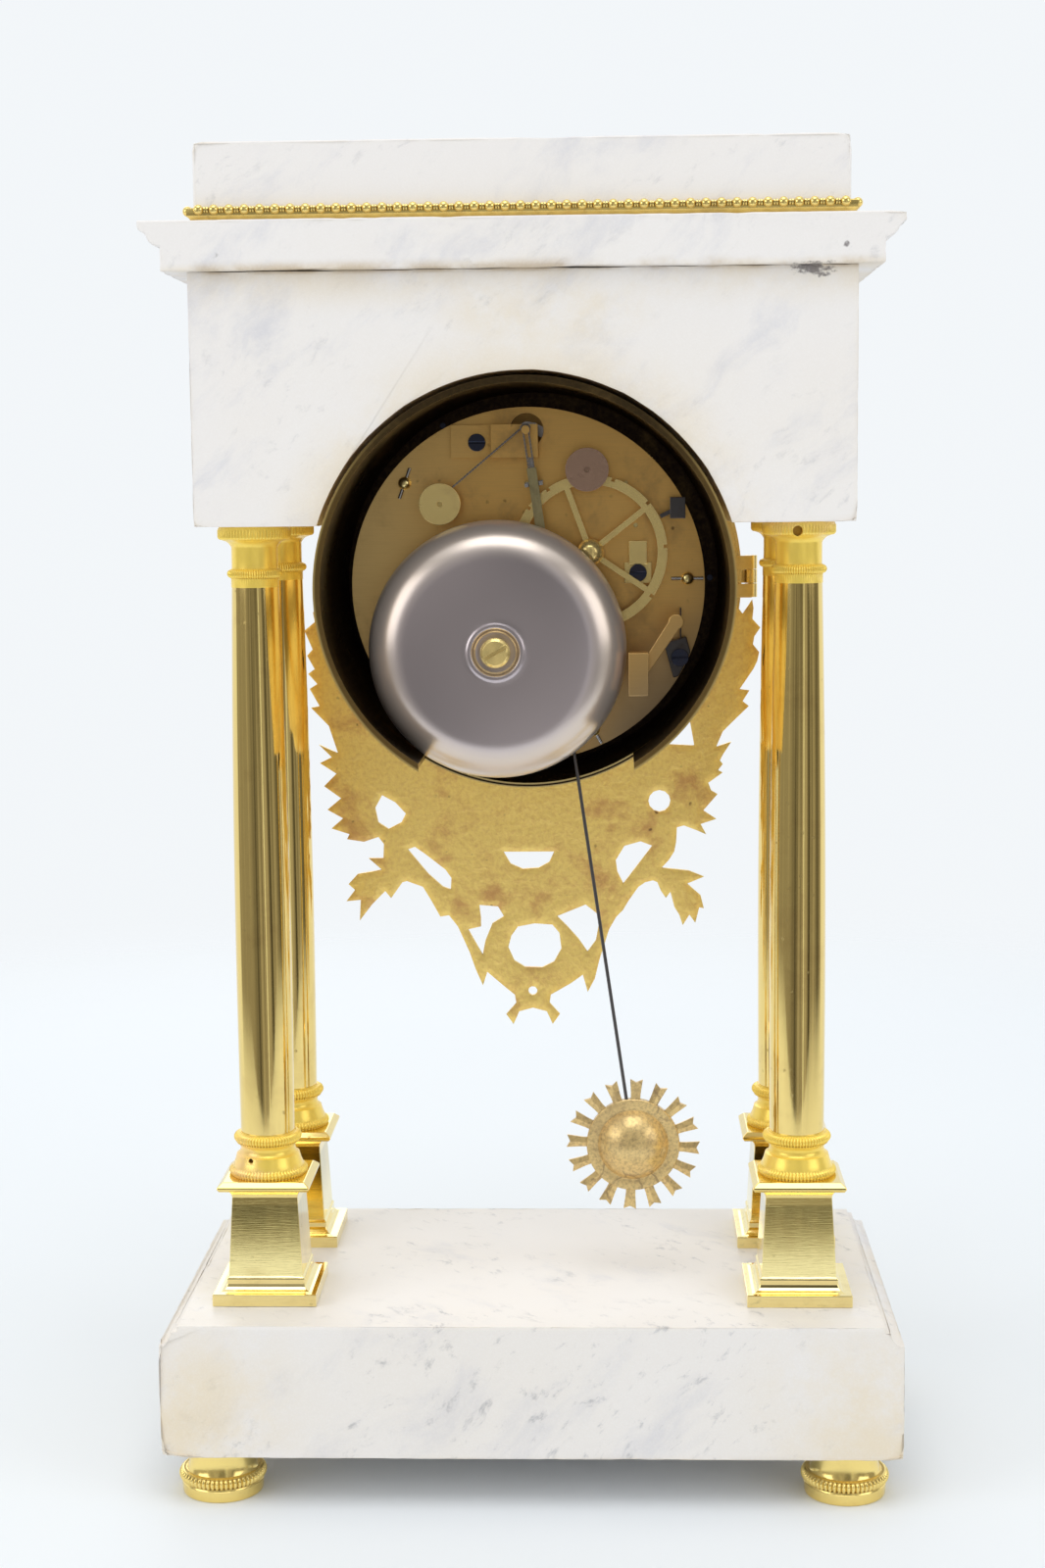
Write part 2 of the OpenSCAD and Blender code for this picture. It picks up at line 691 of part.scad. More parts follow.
module screws() {
    front = -frieze_face - flange_t;
    color("steelblue") {
        for (a = ear_angles) on(ear_ring*[cos(a), sin(a)]) screw_y(ear_screw_r, front, 8, -1);
        for (a = apron_angles) {
            on(apron_ring*[cos(a), sin(a)]) screw_y(ear_screw_r - fit, apron_t - frieze_face, 3, 1);
        }
        for (a = ledge_angles) {
            on(ledge_ring*[cos(a), sin(a)]) screw_y(ear_screw_r - fit, dial_plate_y, 3, -1);
        }
        on(cock_screw_at) screw_y(screw_r/2, back_out + cock_foot_t, 4, 1);
        on(detent_screw_at) screw_y(screw_r/2, back_out + detent_block_t, 5, 1);
        on(spring_screw_at) screw_y(screw_r/2, back_out + spring_block_t, 5, 1);
    }
}

module dial_plate() {
    color("tan") on(centre_at) difference() {
        union() {
            rod_y(drum_in - loose, dial_plate_y, dial_plate_y + dial_plate_t);
            for (a = dial_feet) rotate([0, -a, 0]) translate([dial_foot_ring, 0, 0]) {
                rod_y(2.2, dial_plate_y, front_y - plate_t);
            }
        }
        rod_y(hand_hole_r, dial_plate_y - 1, dial_plate_y + 3);
        for (p = [going_at, strike_at]) {
            translate([p[0], 0, p[1]]) rod_y(key_hole_r, dial_plate_y - 1, dial_plate_y + 3);
        }
        for (a = ledge_angles) {
            translate([ledge_ring*cos(a), 0, ledge_ring*sin(a)]) {
                rod_y(ear_screw_r + loose, dial_plate_y - 1, 0);
            }
        }
    }
}

dial_feet = [20, 110, 200, 290];
dial_foot_ring = 52;
dial_r = drum_in - ledge_w - 0.6;
hand_hole_r = 4;
key_hole_r = 3.4;

module enamel_dial() {
    color("ivory") on(centre_at) difference() {
        turned_y([[0, dial_y - 0.8], [dial_r*0.5, dial_y - 0.6], [dial_r - 0.8, dial_y],
            [dial_r, dial_y + 0.6], [dial_r, dial_plate_y], [0, dial_plate_y]]);
        rod_y(hand_hole_r, dial_y - 3, dial_plate_y + 1);
        for (p = [going_at, strike_at]) {
            translate([p[0], 0, p[1]]) rod_y(key_hole_r, dial_y - 3, dial_plate_y + 1);
        }
    }
}

// Movement plates and pillars

train_arbors = [
    inter_at, third_at, escape_at, count_at, pin_at, locking_at, fly_at, hammer_at, detent_at, spool_at];
through_back = [count_at, fly_at, hammer_at, detent_at, spool_at];

module plate_blank(y) {
    rod_y(plate_r, y, y + plate_t);
}

module front_plate() {
    y = front_y - plate_t;
    color("tan") on(centre_at) difference() {
        plate_blank(y);
        for (p = train_arbors) hole(p, pivot_r + fit, y);
        hole(suspension_at, pivot_r + fit, y);
        hole(centre_at, arbor_r + fit, y);
        for (p = [going_at, strike_at]) hole(p, barrel_pivot_r + fit, y);
        for (p = pillar_places) hole(p, pillar_tail_r, y);
    }
    color("tan") on(minute_at) rod_y(minute_stud_r, hour_y - stud_end, y);
}

module hole(p, r, y) {
    translate([p[0], 0, p[1]]) rod_y(r, y - 1, y + plate_t + 1);
}

module back_plate() {
    color("tan") on(centre_at) difference() {
        plate_blank(back_y);
        for (p = [inter_at, third_at, escape_at, pin_at, locking_at]) hole(p, pivot_r + fit, back_y);
        for (p = through_back) hole(p, arbor_r + fit, back_y);
        hole(centre_at, pivot_r + fit, back_y);
        hole(suspension_at, pallet_hole_r, back_y);
        for (p = [going_at, strike_at]) hole(p, barrel_pivot_r + fit, back_y);
        for (p = pillar_places) hole(p, pillar_tail_r, back_y);
        hole(bell_at, stand_r, back_y);
        for (p = [cock_screw_at, detent_screw_at, spring_screw_at]) hole(p, screw_r/2, back_y);
    }
}

pillar_r = 3.4;
pillar_tail_r = 1.9;
pillar_ball = 2.2;
pin_r = 0.6;
pin_inset = 0.5;
pin_l = 2*(plate_r - pillar_ring - pin_inset);
pin_out = 0.7;
pin_turns = [110, 0, 60, 130];

module pillars() {
    mid = (front_y + back_y)/2;
    color("khaki") for (i = [0:len(pillar_places)-1]) on(pillar_places[i]) difference() {
        union() {
            turned_y(concat(
                [[0, front_y - plate_t], [pillar_tail_r, front_y - plate_t], [pillar_tail_r, front_y]],
                [[pillar_r, front_y], [pillar_r, front_y + 4], [pillar_r - 1, front_y + 5]],
                [[pillar_r - 1, mid - 3]],
                arc([pillar_r - 1, mid], 1.2, -70, 70, 6),
                [[pillar_r - 1, mid + 3], [pillar_r - 1, back_y - 5], [pillar_r, back_y - 4]],
                [[pillar_r, back_y], [pillar_tail_r, back_y], [pillar_tail_r, back_out + 1]],
                [[0, back_out + 1]]));
            translate([0, back_out + 1.4, 0]) sphere(pillar_ball);
        }
        pillar_pin(i);
    }
}

// Pin across a pillar's tail, close against the back plate
module pillar_pin(i) {
    translate([0, back_out + pin_out, 0]) rotate([0, 90 - pin_turns[i], 0]) {
        cylinder(r = pin_r, h = pin_l, center = true);
    }
}

module pillar_pins() {
    color("silver") for (i = [0:len(pillar_places)-1]) on(pillar_places[i]) pillar_pin(i);
}

// Ratchet clicks on the front plate, one beside each winding arbor
ratchet_r = 8;
ratchet_n = 24;
ratchet_y = front_y - plate_t - 2.6;
ratchet_t = 2;
click_at = [10.5, -7.5];
click_tip = 20;
click_stud_r = 1;

module clicks() {
    tip = (ratchet_r + apart)*[cos(click_tip), sin(click_tip)] - click_at;
    color("lightsteelblue") for (s = [0, 1]) mirror([s, 0, 0]) on(going_at + click_at) {
        flat_y(ratchet_y, ratchet_t) {
            circle(2.2);
            polygon([[-1.2, 1.8], tip, tip + [0.8, 0.2], [2.1, 0.6]]);
        }
        rod_y(click_stud_r, ratchet_y, front_y - plate_t);
    }
}

// Bell

stand_r = 2.2;
stand_foot_r = 5;
stem_r = 1.6;

module bell_stand() {
    color("khaki") on(bell_at) union() {
        rod_y(stand_r, back_y, bell_top_y - bell_wall - 3);
        rod_y(stand_foot_r, back_out, back_out + 2);
        cone_y(stand_foot_r, stand_r, back_out + 2, back_out + 4);
        rod_y(4.6, bell_top_y - bell_wall - 3, bell_top_y - bell_wall - dish);
        rod_y(stem_r, bell_top_y - bell_wall - 3, bell_top_y + 2);
    }
}

dish = 1.2;
dish_r = 9.3;

module bell() {
    crown = bell_top_y;
    color("gray") on(bell_at) difference() {
        turned_y(concat(
            [[stem_r + fit, crown - dish - bell_wall], [dish_r - 1, crown - dish - bell_wall],
                [dish_r + 1, crown - bell_wall]],
            arc([bell_r - 13, bell_rim_y + 3.4], 11.4, 90, 12, 8),
            [[bell_r - bell_wall, bell_rim_y + 1.2], [bell_r - bell_wall + 0.3, bell_rim_y]],
            [[bell_r, bell_rim_y], [bell_r + 0.2, bell_rim_y + 1.2]],
            arc([bell_r - 13, bell_rim_y + 4], 13, 8, 90, 10),
            [[dish_r + 1, crown], [dish_r - 1, crown - dish], [stem_r + fit, crown - dish]]));
    }
}

module bell_nut() {
    color("gold") on(bell_at) difference() {
        turned_y([[stem_r, bell_top_y - dish], [5, bell_top_y - dish], [5, bell_top_y + 2.2],
            [4, bell_top_y + 3.2], [0, bell_top_y + 3.6], [0, bell_top_y + 2.2], [stem_r, bell_top_y + 2.2]]);
        rotate([0, 30, 0]) translate([-6, bell_top_y + 2.6, -0.6]) cube([12, 2, 1.2]);
    }
}

// Suspension, regulator and pendulum

cock_foot_t = 2;
cock_screw_at = [17, 49];
cock_h = 11.2;
cock_low_z = 43.8;
cock_foot_x = 9;
cock_foot_w = 17;
cock_riser_w = 3;
cock_arm_w = 14;
cock_arm_x = -4;

module suspension_cock() {
    s = suspension_at;
    color("tan") on(centre_at) difference() {
        union() {
            translate([cock_foot_x, back_out, cock_low_z]) {
                cube([cock_foot_w, cock_foot_t, cock_h]);
                cube([cock_riser_w, cock_y - back_out + cock_t, cock_h]);
            }
            translate([cock_arm_x, cock_y, cock_low_z]) cube([cock_arm_w, cock_t, cock_h]);
            translate([s[0], 0, s[1]]) rod_y(stud_r, cock_y + 1, pendulum_y + 1.4);
        }
        translate([s[0], 0, s[1]]) rod_y(pivot_r + fit, cock_y - 1, cock_y + 1.9);
        translate([cock_screw_at[0], 0, cock_screw_at[1]]) rod_y(screw_r/2, back_out - 1, back_out + 6);
    }
}

spool_r = 7.1;
spool_y = cock_y + cock_t;

module regulator_spool() {
    color("khaki") on(spool_at) union() {
        turned_y([[0, spool_y], [spool_r, spool_y], [spool_r, spool_y + 0.8],
            [spool_r - 1.5, spool_y + 1.5], [spool_r, spool_y + 2.2], [spool_r, spool_y + 3],
            [dimple_r, spool_y + 3], [dimple_r, spool_y + 2], [0, spool_y + 2]]);
        rod_y(arbor_r, front_y + apart, spool_y + 1);
        rod_y(pivot_r, front_y - plate_t + apart, front_y + 1);
        rod_y(2.4, back_out + apart, spool_y + 1);
    }
}

// Silk from the regulator's spool to the stud of the cock
module regulator_thread() {
    from = [spool_at[0] - 3.6, spool_y + 1.5, axis_z + spool_at[1] + 5];
    to = [suspension_at[0] + stud_r + thread_r, spool_y + 1.5, axis_z + suspension_at[1] + 0.4];
    color("dimgray") strut(from, to, thread_r);
}

// Places children hanging from the stud, leaning with the pendulum
module hanging() {
    on(suspension_at) rotate([0, lean, 0]) children();
}

module suspension_thread() {
    color("dimgray") hanging() {
        difference() {
            rod_y(stud_r + 0.8, pendulum_y - 0.5, pendulum_y + 0.5);
            rod_y(stud_r + 0.08, pendulum_y - 1, pendulum_y + 1);
        }
        for (s = [-1, 1]) {
            translate([s*0.9, pendulum_y, -thread_l]) {
                cylinder(r = thread_r, h = thread_l - stud_r - 0.2, $fn = 20);
            }
        }
    }
}

module pendulum_rod() {
    color("slategray") hanging() {
        translate([-1.6, pendulum_y - 0.6, -thread_l - hook_l]) cube([3.2, 1.2, hook_l]);
        translate([0, pendulum_y, bob_in - pendulum_l]) {
            cylinder(r = rod_r, h = pendulum_l - bob_in - thread_l - hook_l);
        }
    }
}

bob_rays = 16;
bob_disc = 0.7;
bob_in = bob_d/2*0.6;
ray_root = 1.6;
ray_waist = 1.7;
ray_end = 2.2;
ray_notch = 0.95;

// Sunburst bob: separate flared rays with notched ends behind a disc with a domed boss
module pendulum_bob() {
    r = bob_d/2;
    side = [[0.6*r, ray_root], [0.78*r, ray_waist], [r, ray_end]];
    ray = concat(side, [[ray_notch*r, 0]], [for (i = [2:-1:0]) [side[i][0], -side[i][1]]]);
    color("goldenrod") hanging() translate([0, pendulum_y, -pendulum_l]) difference() {
        union() {
            flat_y(-1, 2) for (i = [0:bob_rays-1]) rotate(360/bob_rays*(i + 0.5)) polygon(ray);
            turned_y(concat([[0, -2.4], [r*bob_disc - 1, -2.4], [r*bob_disc, -1.4], [r*bob_disc, 1]],
                [[r*bob_disc - 0.2, 1.2], [r*0.54, 1.2]], arc([0, 2.2 - r*0.35], r*0.61, 30, 90, 6)));
        }
        translate([0, 0, bob_in]) cylinder(r = rod_r, h = r);
    }
}

// Anchor, its arbor and the crutch that embraces the pendulum
nib_gap = 2.3;

module pallets() {
    drop = suspension_at - escape_at;
    half = acos(escape_r/norm(drop));
    nib = (escape_r + nib_gap)*[sin(half), cos(half)] - drop;
    fork_y = pendulum_y;
    color("lightsteelblue") hanging() {
        rod_y(arbor_r, front_y + apart, cock_y - apart);
        rod_y(pivot_r, front_y - plate_t + apart, cock_y + 1.6);
        flat_y(escape_y, escape_t) {
            circle(3.2);
            for (s = [-1, 1]) {
                polygon([[-s*1, 3], [s*3, 2.4], [s*(nib[0] + 1.6), nib[1] + 3.2],
                    [s*(nib[0] + 1.4), nib[1] + 0.6], [s*nib[0], nib[1]], [s*(nib[0] - 1.6), nib[1] + 2.6],
                    [s*2.6, -2]]);
            }
        }
        rod_y(2.6, crutch_y, crutch_y + 1.6);
        translate([-0.8, crutch_y, -crutch_l]) cube([1.6, 1.6, crutch_l]);
        for (s = [-1, 1]) {
            translate([s*2.5 - 0.6, crutch_y, -crutch_l - 1.2]) cube([1.2, fork_y + 1.6 - crutch_y, 1.2]);
        }
        translate([-3.1, crutch_y, -crutch_l - 1.2]) cube([6.2, 1.6, 1.6]);
    }
}

// Going train

module escape_wheel() {
    step = 360/escape_n;
    points = [for (i = [0:escape_n-1], c = [[0.8, -0.3], [1, 0.2], [0.99, 0.28], [0.8, 0.24]])
        escape_r*c[0]*[cos(step*(i + c[1])), sin(step*(i + c[1]))]];
    color("khaki") on(escape_at) union() {
        flat_y(escape_y, escape_t) difference() {
            polygon(points);
            difference() {
                circle(escape_r*0.66);
                circle(3);
                for (i = [0:4]) rotate(72*i) translate([0, -0.7]) square([escape_r*0.8, 1.4]);
            }
        }
        arbor(thin_arbor_r);
        pinion(escape_p, third_m, in_mesh(third_at, third_n, 0, escape_at, escape_p),
            third_y - 2, third_y + 3.5);
    }
}

module third_wheel() {
    color("khaki") on(third_at) union() {
        wheel(third_n, third_m, third_y, centre_t, 5, 2);
        arbor();
        pinion(third_p, centre_m, in_mesh(centre_at, centre_n, 0, third_at, third_p),
            centre_y - 1, centre_y + 2.6);
    }
}

module centre_wheel() {
    color("khaki") on(centre_at) union() {
        wheel(centre_n, centre_m, centre_y, centre_t, 5, 2.2);
        rod_y(arbor_r, cannon_y - cannon_l + 2, back_y - apart);
        rod_y(pivot_r, centre_y, back_out - apart);
        pinion(centre_p, inter_m, in_mesh(inter_at, inter_n, 0, centre_at, centre_p),
            inter_y - 2, inter_y + 4);
    }
}

module intermediate_wheel() {
    color("khaki") on(inter_at) union() {
        wheel(inter_n, inter_m, inter_y, wheel_t, 5, 2.2);
        arbor();
        pinion(second_p, barrel_m, in_mesh(going_at, barrel_n, 0, inter_at, second_p),
            barrel_back - 0.5, barrel_back + 3);
    }
}

// Spring barrel: a hollow drum with its toothed wheel at the back
barrel_wall = 1.5;
barrel_r = barrel_n*barrel_m/2 - 1.2*barrel_m - 1;
spring_turns = 7;
spring_t = 0.5;

module barrel() {
    difference() {
        union() {
            rod_y(barrel_r, barrel_front, barrel_back);
            flat_y(barrel_back, tooth_t) polygon(teeth(barrel_n, barrel_m, 0));
        }
        rod_y(barrel_arbor_r + fit, barrel_front - 1, barrel_back + tooth_t + 1);
        rod_y(barrel_r - barrel_wall, barrel_front + barrel_wall, barrel_back);
    }
}

// Coiled mainspring inside a barrel, its outer end against the wall
module mainspring(turn) {
    first = barrel_arbor_r + 2*apart;
    last = barrel_r - barrel_wall - spring_t;
    steps = 24*spring_turns;
    way = [for (i = [0:steps]) [first + (last - first)*i/steps, turn*360*spring_turns*i/steps]];
    inside = barrel_front + barrel_wall + apart;
    flat_y(inside, barrel_back - apart - inside) polygon(concat(
        [for (w = way) w[0]*[cos(w[1]), sin(w[1])]],
        [for (i = [steps:-1:0]) (way[i][0] + spring_t)*[cos(way[i][1]), sin(way[i][1])]]));
}

// Winding arbor with its ratchet behind the dial and its square at the dial
module winding_arbor(turn) {
    step = 360/ratchet_n;
    union() {
        rod_y(barrel_arbor_r, front_y + apart, back_y - apart);
        rod_y(barrel_pivot_r, ratchet_y - 1, back_out - apart);
        translate([-square_w/2, dial_y - 1.5, -square_w/2]) {
            cube([square_w, ratchet_y - dial_y + 1.5, square_w]);
        }
        flat_y(ratchet_y, ratchet_t) polygon([for (i = [0:ratchet_n-1], c = [[0.86, 0], [1, 0.1]])
            ratchet_r*c[0]*[cos(turn*step*(i + c[1])), sin(turn*step*(i + c[1]))]]);
    }
}

module going_barrel() {
    color("khaki") on(going_at) barrel();
}

module going_spring() {
    color("slategray") on(going_at) mainspring(1);
}

module going_arbor() {
    color("lightsteelblue") on(going_at) winding_arbor(1);
}

module strike_barrel() {
    color("khaki") on(strike_at) barrel();
}

module strike_spring() {
    color("slategray") on(strike_at) mainspring(-1);
}

module strike_arbor() {
    color("lightsteelblue") on(strike_at) winding_arbor(-1);
}

// Motion work and hands

cannon_y = front_y - plate_t - apart;
cannon_l = 16.6;
pipe_r = 2;
hour_pipe_r = 2.9;
cannon_t = 2.4;
minute_pinion_t = 3;
stud_end = 1;
minute_y = cannon_y - cannon_t;
hour_y = minute_y - minute_pinion_t;
hour_hand_y = dial_y - 2.4;
minute_hand_y = hour_hand_y - 2.2;
minute_stud_r = 1;
hand_t = 0.8;
motion_t = 1.6;

// Hand with a ring boss, a slender stem and a pierced round eye below its tip
module hand(length, eye, boss, bore, y, turn) {
    stem = length - 3*eye;
    middle = length - 2.4*eye;
    color("midnightblue") on(centre_at) rotate([0, turn, 0]) flat_y(y, hand_t) difference() {
        union() {
            circle(boss);
            polygon([[-1, 0], [1, 0], [0.6, stem], [-0.6, stem]]);
            translate([0, middle]) circle(eye);
            polygon([[-1.1, middle + 0.8*eye], [1.1, middle + 0.8*eye], [0.2, length], [-0.2, length]]);
        }
        circle(bore);
        translate([0, middle]) circle(eye*0.6);
    }
}

module cannon_pinion() {
    color("khaki") on(centre_at) difference() {
        union() {
            rod_y(pipe_r, minute_hand_y, cannon_y);
            pinion(cannon_n, motion_m, in_mesh(minute_at, minute_n, 0, centre_at, cannon_n),
                minute_y, cannon_y);
        }
        rod_y(arbor_r + fit, minute_hand_y - 1, cannon_y + 1);
    }
}

module minute_hand() {
    hand(minute_l, 2.6, 3.4, pipe_r, minute_hand_y, 62);
}

module hour_wheel() {
    color("khaki") on(centre_at) difference() {
        union() {
            wheel(hour_n, hour_m, hour_y, motion_t, 3, 2);
            rod_y(hour_pipe_r, hour_hand_y, hour_y + motion_t);
        }
        rod_y(pipe_r + fit, hour_hand_y - 1, hour_y + 3);
    }
}

module hour_hand() {
    hand(hour_l, 3, 4.2, hour_pipe_r, hour_hand_y, -58);
}

module minute_wheel() {
    color("khaki") on(minute_at) difference() {
        union() {
            wheel(minute_n, motion_m, minute_y, motion_t, 3, 2);
            pinion(minute_p, hour_m, in_mesh(centre_at, hour_n, 0, minute_at, minute_p),
                hour_y - 0.4, minute_y);
        }
        rod_y(minute_stud_r + fit, hour_y - 2, cannon_y);
    }
}

// Strike train

module count_arbor() {
    color("khaki") on(count_at) union() {
        wheel(count_n, count_m, inter_y, wheel_t, 5, 2.2);
        rod_y(arbor_r, front_y + apart, count_y + count_t + count_seat);
        rod_y(pivot_r, front_y - plate_t + apart, front_y + 1);
        pinion(second_p, barrel_m, in_mesh(strike_at, barrel_n, 0, count_at, second_p),
            barrel_back - 0.5, barrel_back + 3);
    }
}

count_spokes = 5;
count_spoke_w = 2;
count_ring = 3.4;
count_hub_r = 4.6;
count_hub_t = 1;
count_seat = 2.6;
hours = 12;
slot_depth = 1.2;
slot_w = 1.2;

// Count wheel: a spoked ring whose edge has a slot after each hour's blows
module count_wheel() {
    r = count_d/2;
    blows = hours*(hours + 1)/2 + hours;
    dome_y = count_y + count_t + count_hub_t;
    color("khaki") on(count_at) difference() {
        union() {
            flat_y(count_y, count_t) difference() {
                circle(r);
                difference() {
                    circle(r - count_ring);
                    circle(count_hub_r - 0.6);
                    for (i = [0:count_spokes-1]) {
                        rotate(70 + i*360/count_spokes) translate([0, -count_spoke_w/2]) {
                            square([r, count_spoke_w]);
                        }
                    }
                }
                for (h = [1:hours]) {
                    rotate(360*(h*(h + 1)/2 + h)/blows) translate([r - slot_depth, -slot_w/2]) {
                        square([2*slot_depth, slot_w]);
                    }
                }
            }
            turned_y(concat([[0, count_y], [count_hub_r, count_y], [count_hub_r, dome_y]],
                arc([0, dome_y], count_hub_r, 12, 90, 6)));
        }
        rod_y(arbor_r + fit, count_y - 1, count_y + count_t + count_seat + fit);
    }
}

lift_pins = 10;
lift_ring = 11;

module pin_wheel() {
    color("khaki") on(pin_at) union() {
        wheel(pin_n, pin_m, third_y, wheel_t, 5, 3);
        arbor();
        pinion(pin_p, count_m, in_mesh(count_at, count_n, 0, pin_at, pin_p), inter_y - 1, inter_y + 3);
        for (i = [0:lift_pins-1]) rotate([0, i*360/lift_pins, 0]) translate([lift_ring, 0, 0]) {
            rod_y(0.6, third_y, third_y + 5);
        }
    }
}

module locking_wheel() {
    color("khaki") on(locking_at) union() {
        wheel(locking_n, locking_m, locking_y, centre_t, 5, 2);
        arbor(thin_arbor_r);
        pinion(locking_p, pin_m, in_mesh(pin_at, pin_n, 0, locking_at, locking_p),
            third_y - 1.5, third_y + 3.5);
    }
}

fly_half = 7.5;
fly_y = -28;
fly_l = 19;
fly_t = 1;
disc_r = 7.4;
disc_t = 1.4;
disc_y = count_y + count_t + 0.8;

module fly() {
    color("rosybrown") on(fly_at) union() {
        rod_y(thin_arbor_r, front_y + apart, back_y);
        rod_y(arbor_r, back_y - apart, disc_y);
        rod_y(pivot_r, front_y - plate_t + apart, front_y + 1);
        pinion(fly_p, locking_m, in_mesh(locking_at, locking_n, 0, fly_at, fly_p),
            locking_y - 1, locking_y + 3);
        translate([-fly_half, fly_y, -fly_t/2]) cube([2*fly_half, fly_l, fly_t]);
        turned_y([[0, disc_y], [disc_r, disc_y], [disc_r, disc_y + disc_t],
            [dimple_r, disc_y + disc_t], [dimple_r, disc_y + disc_t/2], [0, disc_y + disc_t/2]]);
    }
}

// Hammer: arbor, arm and a brass head beside the bell
head_w = 6.6;
head_h = 14.6;
head_d = 8;
head_gap = 0.7;
tail = [8.5, 20];

module hammer() {
    arm_y = bell_rim_y + 2;
    head_x = bell_at[0] - bell_r - head_gap - head_w - hammer_at[0];
    head_z = bell_at[1] - 1 - head_h - hammer_at[1];
    color("khaki") on(hammer_at) union() {
        rod_y(arbor_r, front_y + apart, arm_y + 2);
        rod_y(pivot_r, front_y - plate_t + apart, front_y + 1);
        rod_y(2.6, arm_y, arm_y + 2);
        flat_y(arm_y, 2) polygon([[-1.6, -1.6], [1.6, 1.6],
            [head_x + head_w/2, head_z + head_h*0.6], [head_x + 1, head_z + head_h*0.4]]);
        translate([head_x, arm_y - 1, head_z]) cube([head_w, head_d, head_h]);
        flat_y(third_y + 3, 1.6) polygon([[-1.6, 0], [1.6, 0], tail + [0.8, 0], tail - [0.8, 0]]);
        rod_y(2.6, third_y + 3, third_y + 4.6);
    }
}

spring_block_t = 5;
spring_block_w = 8;
spring_block_h = 12.4;
spring_tilt = 15;
spring_inset = 0.5;
blade_w = 3;
blade_t = 0.5;
blade_from = 4;
blade_to = 17;
spring_screw_at = [-52.2, -25];

// Steel block filed to the edge of the back plate, with the blade that returns the hammer
module hammer_spring() {
    s = spring_screw_at;
    color("dimgray") on(centre_at) difference() {
        union() {
            intersection() {
                translate([s[0], back_out, s[1]]) rotate([0, spring_tilt, 0]) {
                    translate([-spring_block_w/2, 0, -spring_block_h/2]) {
                        cube([spring_block_w, spring_block_t, spring_block_h]);
                    }
                }
                rod_y(plate_r - spring_inset, back_out, back_out + spring_block_t);
            }
            translate([s[0] - blade_t - 0.1, back_out + 1, s[1] + blade_from]) {
                cube([blade_t, blade_w, blade_to - blade_from]);
            }
        }
        translate([s[0], 0, s[1]]) rod_y(screw_r/2, back_out - 1, back_out + spring_block_t + 1);
    }
}

detent_w = 5.2;
detent_h = 7.2;
detent_out = 0.5;
detent_arm = 1.4;

// Detent that drops into the count wheel's slots
module count_detent() {
    d = count_at - detent_at;
    far = norm(d) - count_d/2 - apart;
    a = atan2(d[1], d[0]);
    color("slategray") on(detent_at) union() {
        rod_y(arbor_r, front_y + apart, count_y + count_t + detent_out);
        rod_y(pivot_r, front_y - plate_t + apart, front_y + 1);
        translate([-detent_w/2, count_y - detent_out, -detent_h/2]) {
            cube([detent_w, count_t + 2*detent_out, detent_h]);
        }
        rotate([0, -a, 0]) translate([0, count_y, -detent_arm/2]) cube([far, count_t, detent_arm]);
    }
}

detent_block_t = 1;
detent_screw_at = [-38, 4];

// Small brass cock under the count wheel: a screwed foot and a narrower raised tongue
module detent_cock() {
    color("khaki") on(detent_screw_at) difference() {
        union() {
            translate([-4.7, back_out, -3.6]) cube([9.4, detent_block_t, 7.2]);
            translate([-3.1, back_out, 3]) cube([6.2, detent_block_t + 1, 8]);
        }
        rod_y(screw_r/2, back_out - 1, back_out + 4);
    }
}

// Glazed bezel

glass_seat = 1.4;

module bezel() {
    in_r = bezel_r - bezel_w;
    y0 = bezel_back;
    y1 = bezel_back - bezel_t;
    color("goldenrod") union() {
        on(centre_at) turned_y(concat(
            [[in_r + glass_seat + 1.4, y0], [bezel_r, y0], [bezel_r, y0 - 2]],
            arc([bezel_r - 5, y0 - 2], 5, 0, -90, 6),
            [[in_r + 2.4, y1], [in_r, y1 + 1.6], [in_r, y1 + 2.6], [in_r + glass_seat + 1.4, y1 + 2.6]]));
        translate([hinge_x, hinge_y, axis_z]) {
            cylinder(r = knuckle_r, h = knuckle_h, center = true);
            translate([0, -knuckle_r, -knuckle_h/2]) cube([hinge_leaf_l, knuckle_r, knuckle_h]);
            cylinder(r = hinge_pin_r, h = 3*knuckle_h + 2*knuckle_gap, center = true);
        }
    }
}

module glass() {
    seat_r = bezel_r - bezel_w + glass_seat + 1.2;
    dome_r = bezel_r - bezel_w - apart;
    flat = bezel_back - bezel_t + 2.6;
    bow = (dome_r*dome_r + glass_rise*glass_rise)/(2*glass_rise);
    edge = asin(dome_r/bow);
    middle = flat + bow - glass_rise;
    color("lightcyan", 0.4) on(centre_at) turned_y(concat(
        [[seat_r, flat], [seat_r, flat + glass_t]],
        arc([0, middle], bow - glass_t, edge - 90, -90, 8),
        arc([0, middle], bow, -90, edge - 90, 8)));
}

// Drawing

base_slab();
feet();
for (i = [0:3]) {
    column_shaft(i);
}
pedestals();
column_bases();
capitals();
tie_rods();
frieze_block();
cornice_slab();
attic_block();
bead_moulding();
drum();
apron_mount();
screws();
dial_plate();
enamel_dial();
front_plate();
back_plate();
pillars();
pillar_pins();
clicks();
bell_stand();
bell();
bell_nut();
suspension_cock();
regulator_spool();
regulator_thread();
suspension_thread();
pendulum_rod();
pendulum_bob();
pallets();
escape_wheel();
third_wheel();
centre_wheel();
intermediate_wheel();
going_barrel();
going_spring();
going_arbor();
strike_barrel();
strike_spring();
strike_arbor();
cannon_pinion();
minute_hand();
hour_wheel();
hour_hand();
minute_wheel();
count_arbor();
count_wheel();
pin_wheel();
locking_wheel();
fly();
hammer();
hammer_spring();
count_detent();
detent_cock();
bezel();
glass();
